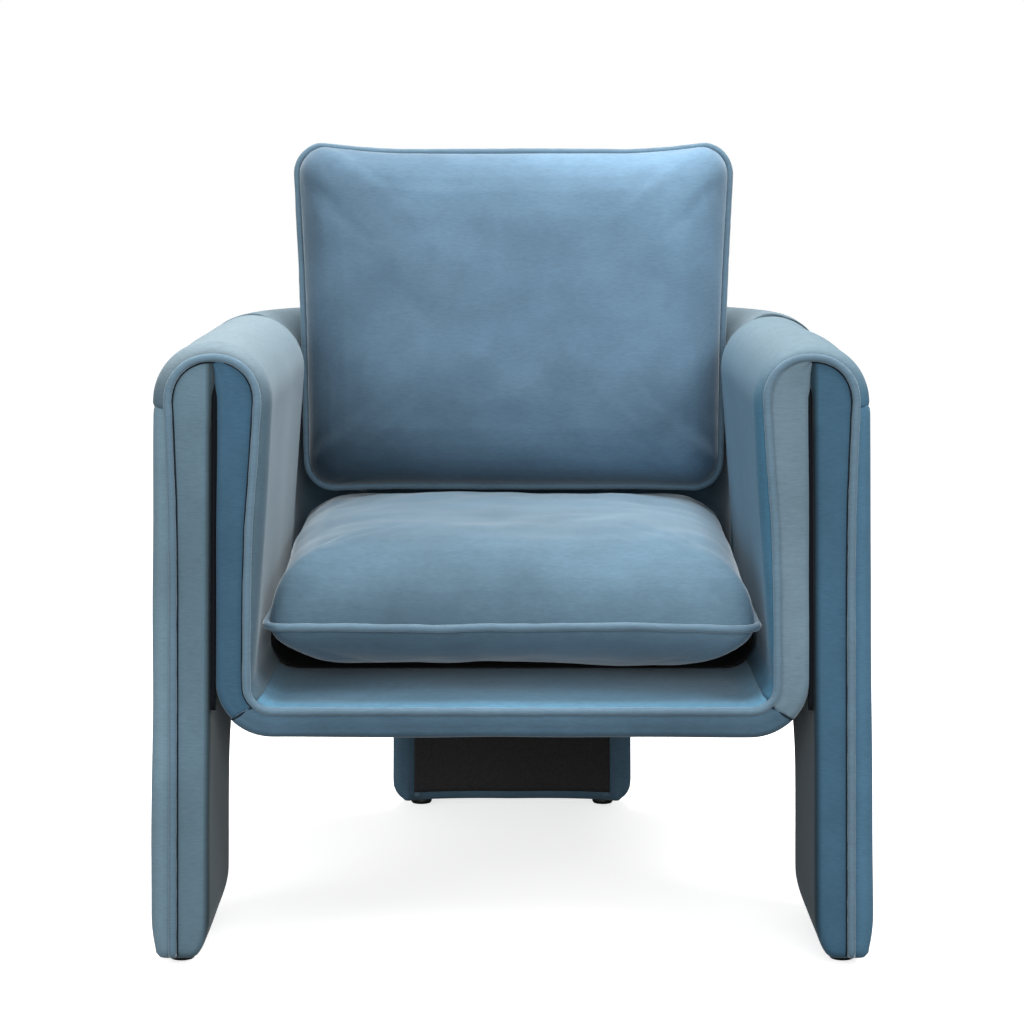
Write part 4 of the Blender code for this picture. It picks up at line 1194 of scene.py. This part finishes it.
def make_back_cushion():
    lift = Vector(next(j["axis"] for j in frame["joints"] if j["name"] == "back_cushion_lift"))
    lean = math.atan2(lift.y, lift.z)
    low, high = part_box("back_cushion_welt")
    half_end = (high.x - low.x) / 2 - 0.0023
    half_start = half_end - 0.0145
    length = (high.z - low.z - 0.0075) / math.cos(lean) - 0.002
    foot_z = low.z + 0.0037 + 0.004 * math.cos(lean)
    foot_y = low.y + 0.0037 + 0.004 * math.sin(lean)
    outline = rounded_outline(half_start, half_end, length, 0.034, 0.034, 0.003, 0.009)

    def wrinkle(points, near_rim):
        depth = np.clip(near_rim / 0.05, 0, 1)
        swell = 0.0035 * slow_noise(points, 0.12, 60.0) + 0.0015 * slow_noise(points, 0.05, 61.0)
        out = points.copy()
        out[:, 2] += swell * depth * np.sign(points[:, 2])
        return out

    def to_world(points):
        u, v, w = points[:, 0], points[:, 1], points[:, 2]
        y = foot_y + v * math.sin(lean) + w * math.cos(lean)
        z = foot_z + v * math.cos(lean) - w * math.sin(lean)
        return np.stack([u + 0.0018, y, z], axis=1)

    nodes = ("back_cover_front", "back_cover_rear", "back_filling")
    powers = (6.5, 6.5)
    make_cushion("back", outline, 0.077, 0.070, powers, to_world, wrinkle, nodes, FABRIC["pillow"])


# ---------------------------------------------------------------- glides
def make_glides():
    """Moulded glides: a rounded foot, a waist and a flange under the fabric."""
    profile = [(0.0, 0.0), (0.0095, 0.0), (0.0118, 0.0006), (0.0130, 0.0022), (0.0134, 0.0046)]
    profile += [(0.0130, 0.0066), (0.0122, 0.0076), (0.0124, 0.0090), (0.0124, 0.0110), (0.0, 0.0110)]
    sides = 40
    for place in ("front", "middle", "rear"):
        for side in ("left", "right"):
            low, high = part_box(f"glide_{place}_{side}")
            x, y = (low.x + high.x) / 2, (low.y + high.y) / 2
            bm = bmesh.new()
            rings = []
            for radius, z in profile:
                count = sides if radius else 1
                turn = [2 * math.pi * k / sides for k in range(count)]
                places = [(x + radius * math.cos(a), y + radius * math.sin(a), z) for a in turn]
                rings.append([bm.verts.new(point) for point in places])
            for a, b in zip(rings, rings[1:]):
                for k in range(sides):
                    m = (k + 1) % sides
                    corners = [a[k % len(a)], a[m % len(a)], b[m % len(b)], b[k % len(b)]]
                    bm.faces.new(list(dict.fromkeys(corners)))
            mesh = mesh_from_bmesh(f"glide_{place}_{side}_foot", bm)
            node = f"glide_{place}_{side}"
            new_piece(f"{node}_foot", mesh, FINISH["glide_plastic"], "chair", (node,))


def cloth_sheet(name, points, material, nodes, thickness=0.0011):
    """A sewn-in cloth panel over a grid of points."""
    piece = new_piece(name, skin(name, points, thickness), material, "chair", nodes)
    return piece


def make_deck_cloth():
    """Black cloth over the springs and up the bucket's walls, behind the velvet trough."""
    edge = 0.0016
    rows = []
    for y in np.linspace(TROUGH_HIGH.y, BARREL_Y + 0.965 * BACK_IN_DEPTH, 70):
        into = max(0.0, y - BARREL_Y) / BACK_IN_DEPTH
        narrow = (max(0.0, 1 - into**BACK_IN_POWER)) ** (1 / BACK_IN_POWER)
        wall = [(min(inner_face_x(z), BACK_IN_X * narrow) - edge, z) for z in np.linspace(0.345, 0.318, 4)]
        turn_r = CORNER_R
        corner = (wall[-1][0] - turn_r, TROUGH_Z + edge + turn_r)
        right = wall + arc(corner, turn_r, 0, -90, 8)
        line = resample(right + [(-x, z) for x, z in reversed(right)], 0.010)
        count = 84
        place = np.linspace(0, len(line) - 1, count)
        line = np.stack([np.interp(place, np.arange(len(line)), line[:, k]) for k in (0, 1)], axis=1)
        rows.append(np.stack([line[:, 0], np.full(count, y), line[:, 1]], axis=1))
    points = np.array(rows)
    points = undulate(points, 0.0008, 0.05, 70.0, fade_edges(points.shape, 6, 6))
    black = FINISH["platform_cloth"]
    cloth_sheet("deck_lining", points, black, ("platform_cloth",))


def make_dust_cloth():
    """Thin black cloth stapled under the seat, from behind the front edge to the rear leg."""
    quarter = np.linspace(0.0, BACK_HALF_S - 0.001, 200)
    plan = np.array([on_barrel(s, 0.46) for s in quarter])
    if plan[0, 1] < plan[-1, 1]:
        plan = plan[::-1]
    plan[:, 0] = np.abs(plan[:, 0])
    z = BUCKET_BOTTOM_Z - 0.0012
    rows = []
    for y in np.linspace(FRONT_Y + 0.050, plan[0, 1] - 0.008, 64):
        half = 0.238
        if y > BARREL_Y:
            share = min(1.0, (y - BARREL_Y) / 0.012)
            reach = float(np.interp(-y, -plan[:, 1], plan[:, 0]))
            half = half + (reach - half) * share
        rows.append([(x, y, z) for x in np.linspace(half, -half, 60)])
    points = np.array(rows)
    fade = fade_edges(points.shape, 6, 6)
    points[:, :, 2] -= 0.004 * fade
    points = undulate(points, 0.0012, 0.07, 71.0, fade)
    points = points[:, ::-1]
    cloth_sheet("dust_cloth", points, FINISH["dust_cloth"], ("dust_cover",))


def make_rear_leg_panel():
    """A near-black sheet in the dust-cloth finish on the inside of the rear leg, between its two welts."""
    half = float(abs(np.interp(REAR_WELT_X - 0.004, BARREL_OUT[::-1, 0], BARREL_S[::-1])))
    rows = []
    for z in np.linspace(LEG_BOTTOM_Z + 0.010, ARCH_Z + 0.020, 40):
        row = []
        for s in np.linspace(-half, half, 50):
            x, y = on_barrel(s, 0.0)
            xi, yi = on_barrel(s, 1.0)
            share = 0.0590 / math.hypot(xi - x, yi - y)
            row.append((x + (xi - x) * share, y + (yi - y) * share, z))
        rows.append(row)
    points = undulate(np.array(rows), 0.0010, 0.08, 72.0, fade_edges((40, 50), 5, 5))
    cloth_sheet("rear_leg_panel", points[:, ::-1], FINISH["dust_cloth"], ())


def add_box(bm, low, high):
    corners = itertools.product((low[0], high[0]), (low[1], high[1]), (low[2], high[2]))
    verts = [bm.verts.new(corner) for corner in corners]
    for face in ((0, 1, 3, 2), (4, 6, 7, 5), (0, 4, 5, 1), (2, 3, 7, 6), (0, 2, 6, 4), (1, 5, 7, 3)):
        bm.faces.new([verts[i] for i in face])


def make_zip_tapes():
    """Two woven tapes with a row of teeth between them, on the rim of each cushion."""
    for prefix in ("seat", "back"):
        low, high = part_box(f"{prefix}_zip_tape")
        bm = bmesh.new()
        middle = (low + high) / 2
        across = high - low
        upright = across.z > across.y
        lean = 0.0 if upright else math.atan2(across.z - 0.002, across.y)
        width = 0.0118
        for side in (-1, 1):
            a, b = sorted((side * 0.0011, side * width / 2))
            add_box(bm, (low.x, -0.0006, a), (high.x, 0.0006, b))
        step = 0.0026
        for i in range(int((high.x - low.x) / step)):
            x = low.x + step * (i + 0.5)
            shift = 0.0006 if i % 2 else -0.0006
            add_box(bm, (x - 0.0008, -0.0010, shift - 0.0014), (x + 0.0008, 0.0010, shift + 0.0014))
        mesh = mesh_from_bmesh(f"{prefix}_zip", bm)

        def place(flat, middle=middle, upright=upright, lean=lean):
            out = flat.copy()
            if not upright:
                out[:, 1] = flat[:, 2] * math.cos(lean) + flat[:, 1] * math.sin(lean)
                out[:, 2] = -flat[:, 2] * math.sin(lean) + flat[:, 1] * math.cos(lean)
            out[:, 1] += middle.y
            out[:, 2] += middle.z
            return out

        move_points(mesh, place)
        body = f"{prefix}_cushion"
        new_piece(f"{prefix}_zip_teeth", mesh, FINISH["zipper"], body, (f"{prefix}_zip_tape",))


# ---------------------------------------------------------------- the frame's own pieces
def dress_frame():
    """Finishes for the CAD pieces that stay."""
    slots = {part["node"]: part["material_slot"] for part in frame["record"]["subparts"]}
    for node, obj in frame["nodes"].items():
        obj.data.materials.clear()
        finish = "slider_metal" if node.endswith("_slider") else slots[node]
        obj.data.materials.append(FINISH[finish])


make_camera()
make_stage()
dress_frame()
make_arm_covers()
make_trough()
make_bucket_bands()
make_side_slabs()
make_back_slab()
make_back_cover()
make_front_welt()
make_seam_and_slit_shadows()
make_rear_welts()
make_deck_cloth()
make_dust_cloth()
make_rear_leg_panel()
make_zip_tapes()
make_glides()
make_seat_cushion()
make_back_cushion()
